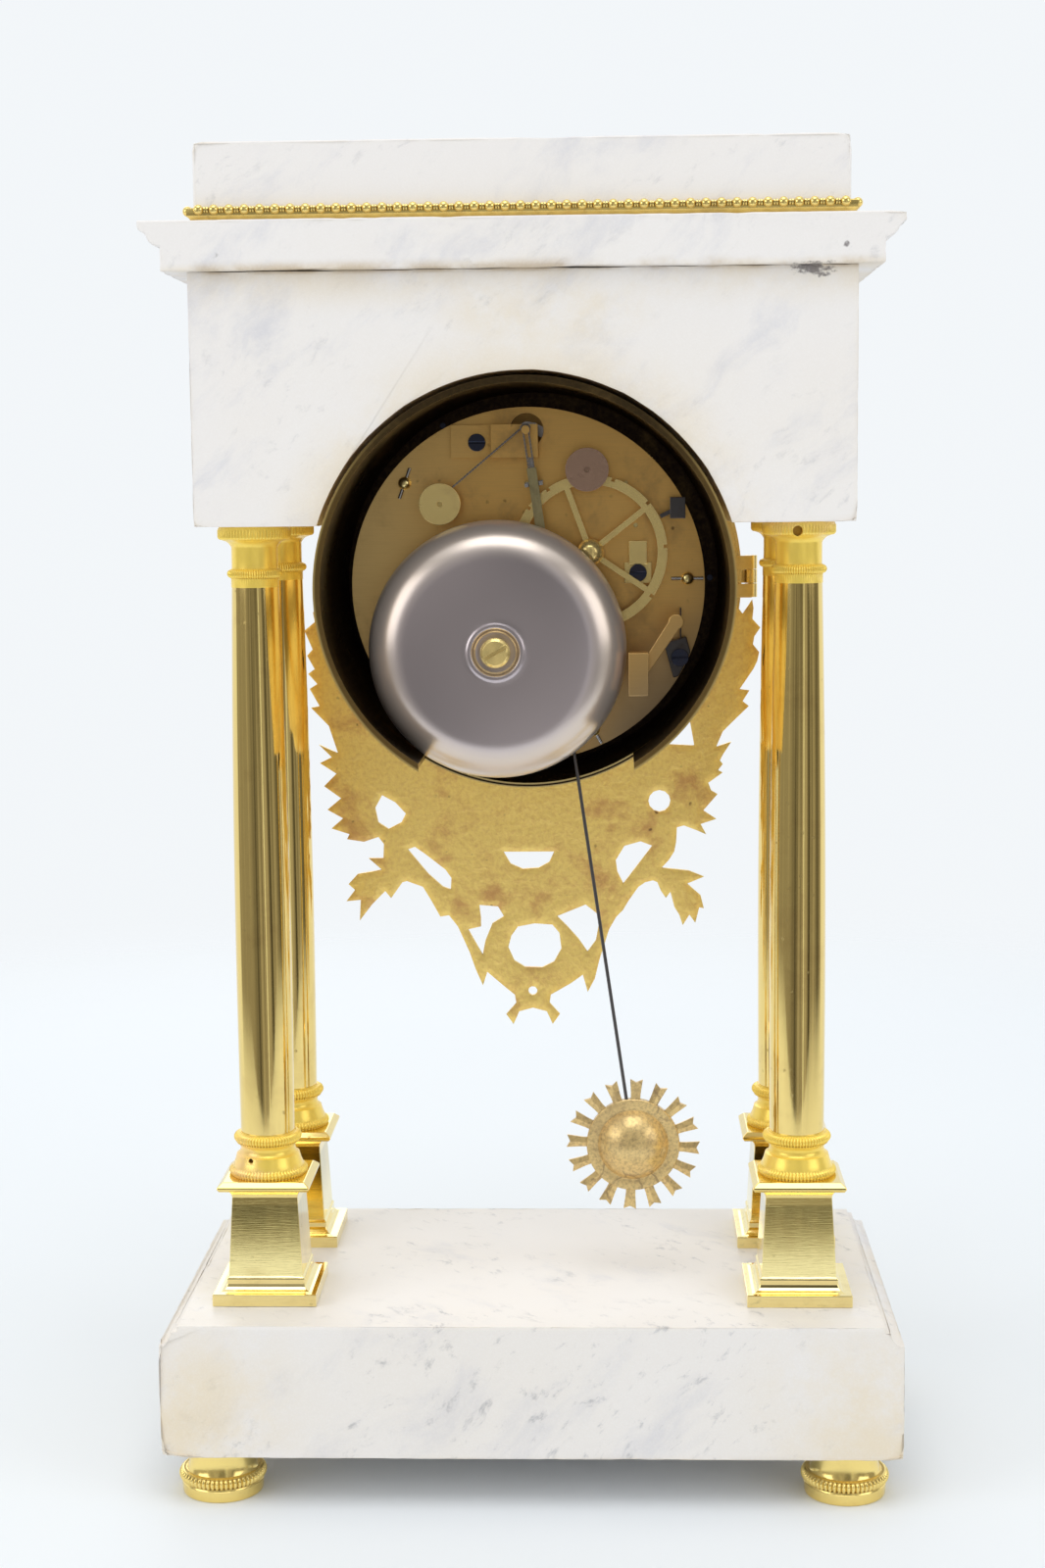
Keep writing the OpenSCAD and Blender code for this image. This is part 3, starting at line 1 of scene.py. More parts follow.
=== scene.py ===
"""Looks of the portico clock: its finishes, its turned and chased detail, the studio and the camera."""
import json
import logging
import math
from collections.abc import Callable, Sequence
from dataclasses import dataclass, field
from enum import Enum

import bmesh
import bpy
import numpy as np
from mathutils import Matrix, Vector, noise
from mathutils.geometry import delaunay_2d_cdt


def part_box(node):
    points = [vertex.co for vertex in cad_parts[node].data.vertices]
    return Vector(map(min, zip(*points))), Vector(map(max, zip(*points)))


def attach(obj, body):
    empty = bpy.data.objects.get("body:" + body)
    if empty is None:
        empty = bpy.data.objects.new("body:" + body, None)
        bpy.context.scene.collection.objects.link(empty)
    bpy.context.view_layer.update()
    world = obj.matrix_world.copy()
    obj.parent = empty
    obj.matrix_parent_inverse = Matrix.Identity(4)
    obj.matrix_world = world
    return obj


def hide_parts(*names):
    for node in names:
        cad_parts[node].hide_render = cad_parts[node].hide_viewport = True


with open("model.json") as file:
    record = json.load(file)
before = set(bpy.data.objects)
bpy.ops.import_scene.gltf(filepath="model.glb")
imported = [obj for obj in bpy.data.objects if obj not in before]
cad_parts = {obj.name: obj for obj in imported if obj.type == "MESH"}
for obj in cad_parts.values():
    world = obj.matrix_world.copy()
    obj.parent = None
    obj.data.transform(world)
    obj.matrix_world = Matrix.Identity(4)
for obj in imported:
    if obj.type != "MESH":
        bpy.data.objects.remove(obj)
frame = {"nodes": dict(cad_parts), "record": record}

LOG = logging.getLogger("portico_clock")
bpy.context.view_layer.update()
MM = 0.001
SLOTS = {part["node"]: part["material_slot"] for part in frame["record"]["subparts"]}
DRUM_AXIS = (0.0, 0.309)
WELD = 1e-6
FLAT_ANGLE = math.radians(0.3)
SHARP_ANGLE = 35.0
FLUTE_FACETS = 6

Point = tuple[float, float]
Triple = tuple[float, float, float]
Colour = Triple


def facing_axis(node: str) -> Point:
    """Axis along Y of a round solid, across and up in metres."""
    low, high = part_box(node)
    return ((low.x + high.x) / 2, (low.z + high.z) / 2)


class Value:
    """A shader socket that takes part in Python arithmetic."""

    def __init__(self, graph: "Graph", socket: bpy.types.NodeSocket) -> None:
        """Wraps one output socket of a graph."""
        self.graph = graph
        self.socket = socket

    def _math(self, operation: str, first: "Number", second: "Number" = 0.0) -> "Value":
        """Adds one Math node and returns its result."""
        return self.graph.node("ShaderNodeMath", {"operation": operation}, {0: first, 1: second})

    def __add__(self, other: "Number") -> "Value":
        """Sum."""
        return self._math("ADD", self, other)

    def __sub__(self, other: "Number") -> "Value":
        """Difference."""
        return self._math("SUBTRACT", self, other)

    def __rsub__(self, other: "Number") -> "Value":
        """Difference from a number, as in 1 - mask."""
        return self._math("SUBTRACT", other, self)

    def __mul__(self, other: "Number") -> "Value":
        """Product."""
        return self._math("MULTIPLY", self, other)

    def __truediv__(self, other: "Number") -> "Value":
        """Quotient."""
        return self._math("DIVIDE", self, other)

    def __rtruediv__(self, other: "Number") -> "Value":
        """Quotient of a number by this value."""
        return self._math("DIVIDE", other, self)

    def __pow__(self, other: "Number") -> "Value":
        """Power."""
        return self._math("POWER", self, other)

    def __abs__(self) -> "Value":
        """Size without sign."""
        return self._math("ABSOLUTE", self)

    __radd__ = __add__
    __rmul__ = __mul__

    def most(self, other: "Number") -> "Value":
        """The larger of two values."""
        return self._math("MAXIMUM", self, other)

    def turn_from(self, other: "Number") -> "Value":
        """Angle whose tangent is this value over another."""
        return self._math("ARCTAN2", self, other)

    def between(self, low: float, high: float) -> "Value":
        """Smooth step.

        Args:
            low: value that gives 0, which may be the larger.
            high: value that gives 1.

        Returns:
            A mask from 0 to 1.
        """
        sockets = {"Value": self, "From Min": low, "From Max": high}
        return self.graph.node("ShaderNodeMapRange", {"interpolation_type": "SMOOTHSTEP"}, sockets)


Number = Value | float


class Graph:
    """A node tree under construction."""

    def __init__(self, tree: bpy.types.NodeTree) -> None:
        """Starts from an emptied tree."""
        self.tree = tree
        tree.nodes.clear()

    def node(self, kind: str, settings: dict | None = None, sockets: dict | None = None,
             out: int | str = 0) -> Value:
        """Adds any node.

        Args:
            kind: the node's type.
            settings: its properties, set before its sockets.
            sockets: values or links by socket name or index.
            out: the output that is wanted.

        Returns:
            The wanted output.
        """
        made = self.tree.nodes.new(kind)
        for key, value in (settings or {}).items():
            setattr(made, key, value)
        for key, value in (sockets or {}).items():
            target = made.inputs[key]
            if isinstance(value, Value):
                self.tree.links.new(value.socket, target)
            elif target.type == "RGBA":
                target.default_value = (*value, 1.0)
            else:
                target.default_value = value
        return Value(self, made.outputs[out])

    def place(self) -> Value:
        """Position on the object, in metres, which stays with it when it moves."""
        return self.node("ShaderNodeTexCoord", out="Object")

    def axes(self, vector: Value) -> list[Value]:
        """The three parts of a vector."""
        first = self.node("ShaderNodeSeparateXYZ", {}, {0: vector})
        return [Value(self, out) for out in first.socket.node.outputs]

    def vector(self, *parts: Number) -> Value:
        """A vector from its parts."""
        return self.node("ShaderNodeCombineXYZ", {}, dict(enumerate(parts)))

    def radius(self, across: Value, up: Value, centre: Point) -> Value:
        """Distance from a point of a plane."""
        return ((across - centre[0]) ** 2.0 + (up - centre[1]) ** 2.0) ** 0.5

    def oval(self, across: Value, up: Value, centre: Point, size: Point) -> Value:
        """Squared distance from a point of a plane, which is 1 on an oval with these half widths."""
        return ((across - centre[0]) / size[0]) ** 2.0 + ((up - centre[1]) / size[1]) ** 2.0

    def stretch(self, vector: Value, by: Triple) -> Value:
        """A vector multiplied part by part."""
        return self.node("ShaderNodeVectorMath", {"operation": "MULTIPLY"}, {0: vector, 1: by})

    def warp(self, vector: Value, scale: float, amount: float) -> Value:
        """A vector pushed about by noise.

        Args:
            vector: the position.
            scale: noise cells per metre.
            amount: largest push in metres.

        Returns:
            The pushed position.
        """
        sockets = {"Vector": vector, "Scale": scale, "Detail": 3.0}
        push = self.node("ShaderNodeTexNoise", {}, sockets, "Color")
        pushed = {0: push, 1: (amount, amount, amount), 2: vector}
        return self.node("ShaderNodeVectorMath", {"operation": "MULTIPLY_ADD"}, pushed)

    def noise(self, vector: Value, scale: float, detail: float = 4.0, rough: float = 0.5) -> Value:
        """Smooth noise around 0.5."""
        sockets = {"Vector": vector, "Scale": scale, "Detail": detail, "Roughness": rough}
        return self.node("ShaderNodeTexNoise", {}, sockets)

    def cells(self, vector: Value, scale: float, feature: str = "F1") -> Value:
        """Distance to the nearest cell centre, or to the nearest cell border."""
        sockets = {"Vector": vector, "Scale": scale}
        return self.node("ShaderNodeTexVoronoi", {"feature": feature}, sockets, "Distance")

    def recess(self, reach: float, inside: bool = False) -> Value:
        """How far a spot is hemmed in by its own piece.

        Args:
            reach: distance looked at, in metres.
            inside: looks into the piece, which finds its outer edges.

        Returns:
            0 on open faces, up to 1 in corners, or on edges.
        """
        settings = {"samples": 6, "inside": inside, "only_local": True}
        return 1.0 - self.node("ShaderNodeAmbientOcclusion", settings, {"Distance": reach}, "AO")

    def mix(self, share: Number, under: "Paint", over: "Paint") -> Value:
        """Colour mixed from two."""
        return self.node("ShaderNodeMix", {"data_type": "RGBA"}, {0: share, 6: under, 7: over}, 2)

    def bump(self, height: Value, distance: float, strength: float = 1.0) -> Value:
        """Normal bent by a height.

        Args:
            height: value from 0 to 1.
            distance: what 1 stands for, in metres.
            strength: share of the bend that is kept.

        Returns:
            The bent normal.
        """
        sockets = {"Strength": strength, "Distance": distance, "Height": height}
        return self.node("ShaderNodeBump", {}, sockets)

    def surface(self, sockets: dict) -> None:
        """Ends a material's tree with its shader."""
        shader = self.node("ShaderNodeBsdfPrincipled", {}, sockets)
        self.node_end("ShaderNodeOutputMaterial", shader)

    def node_end(self, kind: str, shader: Value) -> None:
        """Adds the output node and links a shader to it."""
        end = self.tree.nodes.new(kind)
        self.tree.links.new(shader.socket, end.inputs["Surface"])


Paint = Value | Colour


def new_material(name: str) -> tuple[bpy.types.Material, Graph]:
    """An empty material with its graph."""
    material = bpy.data.materials.new(name)
    material.use_nodes = True
    return material, Graph(material.node_tree)


@dataclass(frozen=True)
class Marble:
    """White marble with soft grey smudges, diagonal flecks, warm stains where metal meets it and painted
    shade on the base's sides.
    """

    name: str = "white_marble"
    body: Colour = (0.85, 0.815, 0.785)
    cloud: Colour = (0.60, 0.60, 0.655)
    fleck: Colour = (0.30, 0.31, 0.35)
    stain: Colour = (0.76, 0.60, 0.33)
    pit: Colour = (0.12, 0.10, 0.10)
    # painted shade on the base's sides below its top, which leaves the top lighter
    painted_shade: Colour = (0.66, 0.625, 0.59)
    rust: Colour = (0.44, 0.30, 0.13)
    crystal: Colour = (1.0, 1.0, 1.0)
    smudge_grain: Triple = (11.0, 24.0, 20.0)
    fleck_grain: Triple = (85.0, 150.0, 120.0)
    axis: Point = DRUM_AXIS
    arch: float = 0.072
    under_cornice: float = 0.4135
    base_top: float = 0.064
    rear: Point = (0.046, 0.048)
    cream: Point = (-0.009, 0.402)
    cream_size: Point = (0.034, 0.015)
    scar: Point = (-0.0942, 0.4122)
    scar_size: Point = (0.0075, 0.0024)
    scar_rear: Point = (0.04, 0.045)

    def veins(self, g: Graph, p: Value, grain: Triple, rough: float) -> Value:
        """Noise drawn out along the stone's slanting bed.

        Args:
            g: the material's graph.
            p: the position.
            grain: cells per metre along the bed, across it and from front to back.
            rough: share of the finer noise.

        Returns:
            Noise around 0.5.
        """
        x, y, z = g.axes(g.warp(p, 22.0, 0.02))
        along, across = z - x, x + z + y * 0.6
        return g.noise(g.vector(along * grain[0], across * grain[1], y * grain[2]), 1.0, 6.0, rough)

    def warmth(self, g: Graph, p: Value, patches: Value) -> Value:
        """Stains round the arch, under the cornice, at the base's corners and on edges."""
        x, y, z = g.axes(p)
        fringe = g.radius(x, z, self.axis).between(self.arch + 0.02, self.arch - 0.004)
        cream = g.oval(x, z, self.cream, self.cream_size).between(1.6, 0.1)
        near_cornice = z.between(self.under_cornice - 0.016, self.under_cornice - 0.001)
        near_cornice = near_cornice * z.between(self.under_cornice + 0.003, self.under_cornice)
        low_corner = abs(x).between(0.06, 0.115) * z.between(0.075, 0.042)
        edges = g.recess(0.004, inside=True).between(0.3, 0.85)
        where = (fringe * 0.8).most(cream.most(near_cornice) * 0.7).most(low_corner).most(edges * 0.6)
        return where * patches.between(0.3, 0.62) + g.noise(p, 9.0, 3.0).between(0.42, 0.7) * 0.2

    def rusty_seam(self, g: Graph, p: Value) -> Value:
        """Rust along the joint under the cornice, on the rear alone."""
        x, y, z = g.axes(p)
        seam = z.between(self.under_cornice + 0.004, self.under_cornice)
        seam = seam * z.between(self.under_cornice - 0.0015, self.under_cornice)
        return seam * g.noise(p, 42.0, 4.0, 0.6).between(0.38, 0.6) * y.between(*self.rear)

    def pitting(self, g: Graph, p: Value, patches: Value) -> Value:
        """Small pits, and one torn scar on the rear."""
        x, y, z = g.axes(p)
        small = g.cells(g.warp(p, 140.0, 0.004), 48.0).between(0.055, 0.025) * patches.between(0.56, 0.64)
        torn = g.noise(g.stretch(p, (260.0, 260.0, 420.0)), 1.0, 4.0, 0.7)
        scar = (g.oval(x, z, self.scar, self.scar_size) + torn * 5.0 - 2.4).between(1.1, 0.2)
        return small.most(scar * y.between(*self.scar_rear))

    def build(self) -> bpy.types.Material:
        """Makes the material."""
        material, g = new_material(self.name)
        p = g.place()
        x, y, z = g.axes(p)
        low = z.between(self.base_top + 0.03, self.base_top)
        # painted shade: the base's sides below its top are painted greyer, its top face is not
        base_side_shade = low * z.between(self.base_top, self.base_top - 2 * MM)
        patches = g.noise(p, 30.0, 6.0, 0.65)
        clusters = g.noise(p, 19.0, 4.0, 0.6).between(0.37, 0.62)
        smudges = self.veins(g, p, self.smudge_grain, 0.66).between(0.5, 0.74)
        flecks = self.veins(g, p, self.fleck_grain, 0.7).between(0.54, 0.74)
        flecks = flecks * clusters * (low * 0.65 + 0.35)
        pits = self.pitting(g, p, patches)
        grain = g.noise(p, 1500.0, 2.0)
        colour: Paint = self.body
        for share, over in ((smudges * 0.62, self.cloud), (flecks * 0.85, self.fleck),
                            (base_side_shade * 0.22, self.painted_shade), (self.warmth(g, p, patches) * 0.48, self.stain),
                            (self.rusty_seam(g, p) * 0.55, self.rust), (pits * 0.8, self.pit),
                            (grain.between(0.4, 0.75) * 0.08, self.crystal)):
            colour = g.mix(share, colour, over)
        height = grain * 0.25 - pits - flecks * 0.2
        g.surface({
            "Base Color": colour,
            "Roughness": 0.3 + patches * 0.2 + pits * 0.3,
            "Normal": g.bump(height, 0.12 * MM, 0.6),
            "Specular IOR Level": 0.45,
        })
        return material


@dataclass(frozen=True)
class Metal:
    """Gilt, brass or steel with tarnish, dirt in its recesses and bright worn edges."""

    name: str
    colour: Colour
    tarnish: Colour
    roughness: float
    spread: float = 0.15
    tarnished: float = 0.5
    blotches: float = 45.0
    dirt: Colour = (0.10, 0.06, 0.03)
    grime: float = 0.7
    reach: float = 2.2 * MM
    grain: Triple = (900.0, 900.0, 900.0)
    relief: float = 0.02 * MM
    waves: float = 0.0
    edge: float = 0.5
    edge_reach: float = 0.5 * MM
    gleam: float = 1.12
    metallic: float = 1.0
    mottle: float = 0.12
    specks: float = 1.0
    smoothest: float = 0.04

    def pattern(self, g: Graph, p: Value) -> Value:
        """Fine tool marks, as a height from 0 to 1."""
        return g.noise(g.stretch(p, self.grain), 1.0, 3.0, 0.6)

    def ground(self, g: Graph, p: Value) -> Paint:
        """Colour of the clean metal."""
        return self.colour

    def bareness(self, g: Graph, p: Value) -> Number:
        """Share of bare metal."""
        return self.metallic

    def build(self) -> bpy.types.Material:
        """Makes the material."""
        material, g = new_material(self.name)
        p = g.place()
        patch = g.noise(g.warp(p, 60.0, 0.01), self.blotches, 6.0, 0.65)
        spots = g.cells(g.warp(p, 300.0, 0.002), 160.0).between(0.14, 0.05)
        spots = spots * patch.between(0.45, 0.6) * self.specks
        marks = self.pattern(g, p)
        hollow = g.recess(self.reach).between(0.15, 0.85)
        rim = g.recess(self.edge_reach, inside=True).between(0.35, 0.9)
        stained = patch.between(0.5, 0.72) * self.tarnished
        colour = g.mix(stained, self.ground(g, p), self.tarnish)
        colour = g.mix(marks.between(0.35, 0.8) * self.mottle, colour, self.tarnish)
        colour = g.mix((hollow * self.grime).most(spots * self.tarnished), colour, self.dirt)
        bright = tuple(min(1.0, self.gleam * part) for part in self.colour)
        colour = g.mix(rim * self.edge * (1.0 - hollow), colour, bright)
        rough = self.roughness + (patch - 0.5) * self.spread + hollow * 0.25 + spots * 0.2
        height = marks
        if self.waves:
            height = height + g.noise(g.stretch(p, (1.0, 1.0, 0.6)), 70.0, 2.0) * self.waves
        g.surface({
            "Base Color": colour,
            "Metallic": self.bareness(g, p),
            "Roughness": rough.most(self.smoothest),
            "Normal": g.bump(height, self.relief),
        })
        return material


@dataclass(frozen=True)
class SpunMetal(Metal):
    """Metal with fine rings about an axis along Y."""

    centre: Point = DRUM_AXIS
    rings: float = 2600.0

    def from_centre(self, g: Graph, p: Value) -> Value:
        """Distance from the axis."""
        x, y, z = g.axes(p)
        return g.radius(x, z, self.centre)

    def pattern(self, g: Graph, p: Value) -> Value:
        """Rings of uneven depth."""
        line = g.vector(self.from_centre(g, p) * self.rings, g.noise(p, 25.0) * 1.5)
        return g.noise(line, 1.0, 3.0, 0.7)


@dataclass(frozen=True)
class BellMetal(SpunMetal):
    """Spun metal with a painted reflection on its flank, which is painted lighter and warmer than its crown
    and made less metallic.
    """

    # painted reflection on the flank
    flank: Colour = (0.72, 0.62, 0.54)
    shoulder: Point = (0.030, 0.0375)
    flank_matt: float = 0.2

    def flank_share(self, g: Graph, p: Value) -> Value:
        """How far a spot lies out on the flank."""
        return self.from_centre(g, p).between(*self.shoulder)

    def ground(self, g: Graph, p: Value) -> Paint:
        """Painted reflection: lighter and warmer on the flank."""
        return g.mix(self.flank_share(g, p), self.colour, self.flank)

    def bareness(self, g: Graph, p: Value) -> Number:
        """Duller on the flank."""
        return self.metallic - self.flank_share(g, p) * self.flank_matt


@dataclass(frozen=True)
class RodSteel(Metal):
    """Dark steel with a brass crutch at its upper end."""

    brass: Colour = (0.52, 0.45, 0.24)
    above: float = 0.318

    def ground(self, g: Graph, p: Value) -> Paint:
        """Brass over the join, steel under it."""
        x, y, z = g.axes(p)
        return g.mix(z.between(self.above, self.above + MM), self.colour, self.brass)


@dataclass(frozen=True)
class BrushedMetal(Metal):
    """Metal brushed one way, with a few long scratches along it, with a painted reflection: painted light low
    on the die and painted shade above.
    """

    scratches: Triple = (22.0, 22.0, 620.0)
    streaks: Triple = (260.0, 260.0, 9.0)
    # painted light on the die's lower part, a painted reflection
    worn: Colour = (1.0, 0.85, 0.40)
    # painted shade on the die's upper part, a painted reflection
    painted_shade: Colour = (0.54, 0.44, 0.165)
    die: Point = (0.076, 0.095)
    cap: float = 0.0975

    def ground(self, g: Graph, p: Value) -> Paint:
        """Painted light on the foot, and streaky painted shade up to the cap."""
        x, y, z = g.axes(p)
        streak = g.noise(g.stretch(p, self.streaks), 1.0, 2.0).between(0.3, 0.62)
        # painted light: the die's foot is painted brighter
        foot = g.mix(z.between(self.die[1], self.die[0]), self.colour, self.worn)
        # painted shade: the die's upper part is painted darker, in streaks
        shade = z.between(*self.die) * z.between(self.cap + MM, self.cap)
        return g.mix(shade * (0.7 + streak * 0.3), foot, self.painted_shade)

    def pattern(self, g: Graph, p: Value) -> Value:
        """Fine lines less the scratches."""
        deep = g.noise(g.stretch(g.warp(p, 26.0, 0.004), self.scratches), 1.0, 1.0).between(0.68, 0.72)
        return super().pattern(g, p) - deep * 0.9


@dataclass(frozen=True)
class CrackedGilt(Metal):
    """Gilt that has cracked and darkened in patches."""

    cracks: float = 95.0

    def pattern(self, g: Graph, p: Value) -> Value:
        """Rough skin with dark cracks."""
        crack = g.cells(g.warp(p, 110.0, 0.009), self.cracks, "DISTANCE_TO_EDGE").between(0.05, 0.0)
        worn = g.noise(p, 60.0, 3.0).between(0.5, 0.6)
        return super().pattern(g, p) + crack * worn * 0.7


@dataclass(frozen=True)
class DrumBrass(Metal):
    """Sheet brass with painted shade inside the drum, a dark rim face with a bright outer edge, and a bright
    lip low down.
    """

    axis: Point = DRUM_AXIS
    inner: float = 0.0680
    outer: float = 0.0702
    # painted shade inside the drum and on the rim's top
    black: Colour = (0.034, 0.022, 0.018)
    # painted half-light inside the drum near the rim, and the dark of the rim's face
    brown: Colour = (0.27, 0.17, 0.06)
    lip: Colour = (1.0, 0.80, 0.36)
    rim_y: float = 0.0494
    rim_depth: float = 3 * MM
    rim_light_depth: float = 7 * MM
    gap_y: float = 0.020
    upper: Point = (0.02, 0.06)
    lowest: Point = (-0.052, -0.055)

    def ground(self, g: Graph, p: Value) -> Paint:
        """Painted shade within the wall with painted light towards the rim, a dark rim face whose top is a
        painted reflection, and a bright lip low down.
        """
        x, y, z = g.axes(p)
        radius = g.radius(x, z, self.axis)
        up = z - self.axis[1]
        # the upper part, painted darker inside and on the rim as painted shade and painted reflection
        top = up.between(*self.upper)
        within = radius.between(self.inner + 0.25 * MM, self.inner)
        within = within * y.between(self.rim_y, self.rim_y - 0.6 * MM)
        # painted light: brown inside the wall towards the rim; painted shade: black deeper in
        rim_light = (g.noise(p, 40.0, 4.0) * 0.5 + 0.4) * y.between(self.rim_y - self.rim_light_depth, self.rim_y)
        dark = g.mix(rim_light * (1.0 - top * 0.8) * 0.8, self.black, self.brown)
        on_rim = y.between(self.rim_y - self.rim_depth, self.rim_y)
        # the rim's face is painted dark brown but for its outer edge, and black at the top as a painted
        # reflection
        dark_rim_share = radius.between(self.outer - 0.25 * MM, self.outer - MM).most(top) * on_rim
        dark_rim_tone = g.mix(top * 0.9, self.brown, self.black)
        wall = g.mix(within, g.mix(dark_rim_share * 0.95, self.colour, dark_rim_tone), dark)
        on_lip = abs(y - self.gap_y).between(0.9 * MM, 0.5 * MM) * up.between(*self.lowest)
        line = abs(radius - (self.inner + 0.75 * MM)).between(0.45 * MM, 0.2 * MM)
        return g.mix(on_lip, wall, g.mix(line, self.lip, self.black))


@dataclass(frozen=True)
class PlateBrass(Metal):
    """Plate brass that is pale on the side the light reaches and brown in the drum's shade."""

    pale: Colour = (1.0, 0.74, 0.33)
    shade: Colour = (0.50, 0.37, 0.22)
    centre: Point = DRUM_AXIS

    def ground(self, g: Graph, p: Value) -> Paint:
        """Tone that falls from the +X side to the low -X side."""
        x, y, z = g.axes(p)
        drift = g.noise(p, 24.0, 3.0) * 0.03 - 0.015
        side = x + drift
        low = (x - self.centre[0]) * 0.6 + (z - self.centre[1]) + drift
        tone = g.mix(side.between(0.012, 0.062) * 0.8, self.colour, self.pale)
        return g.mix(low.between(-0.022, -0.075) * side.between(0.01, -0.04), tone, self.shade)


@dataclass(frozen=True)
class Enamel:
    """White fired enamel with a few hairlines."""

    name: str = "white_enamel"
    body: Colour = (0.80, 0.785, 0.735)
    warm: Colour = (0.83, 0.81, 0.74)
    hairline: Colour = (0.42, 0.38, 0.32)

    def build(self) -> bpy.types.Material:
        """Makes the material."""
        material, g = new_material(self.name)
        p = g.place()
        tone = g.noise(p, 22.0, 4.0)
        crack = g.cells(g.warp(p, 45.0, 0.012), 26.0, "DISTANCE_TO_EDGE").between(0.010, 0.003)
        crack = crack * g.noise(p, 18.0).between(0.55, 0.66)
        ripple = g.noise(p, 160.0, 2.0)
        colour = g.mix(tone.between(0.3, 0.8) * 0.35, self.body, self.warm)
        colour = g.mix(crack * 0.7, colour, self.hairline)
        g.surface({
            "Base Color": colour,
            "Roughness": 0.10 + tone * 0.08,
            "Normal": g.bump(ripple - crack, 0.03 * MM, 0.5),
            "Coat Weight": 0.4,
            "Coat Roughness": 0.06,
        })
        return material


@dataclass(frozen=True)
class Glass:
    """Clear old glass, seen mostly by its gloss."""

    name: str = "clear_glass"
    tint: Colour = (0.86, 0.92, 0.90)
    faint: float = 0.05

    def build(self) -> bpy.types.Material:
        """Makes the material."""
        material, g = new_material(self.name)
        p = g.place()
        grazing = g.node("ShaderNodeLayerWeight", {}, {"Blend": 0.25}, "Facing")
        dust = g.noise(p, 120.0, 5.0)
        g.surface({
            "Base Color": self.tint,
            "Roughness": 0.03 + dust * 0.05,
            "Alpha": self.faint + grazing ** 3.0 * 0.35,
            "Normal": g.bump(g.noise(p, 30.0, 2.0), 0.05 * MM, 0.3),
            "Specular IOR Level": 0.5,
        })
        return material


@dataclass(frozen=True)
class Plain:
    """Paint or silk: no metal, with uneven colour and a fine surface."""

    name: str
    colour: Colour
    other: Colour
    roughness: float
    fineness: float
    relief: float = 0.03 * MM
    sheen: float = 0.0

    def build(self) -> bpy.types.Material:
        """Makes the material."""
        material, g = new_material(self.name)
        p = g.place()
        fine = g.noise(p, self.fineness, 4.0, 0.6)
        g.surface({
            "Base Color": g.mix(fine.between(0.3, 0.7), self.colour, self.other),
            "Roughness": self.roughness + (fine - 0.5) * 0.2,
            "Normal": g.bump(fine, self.relief),
            "Sheen Weight": self.sheen,
        })
        return material


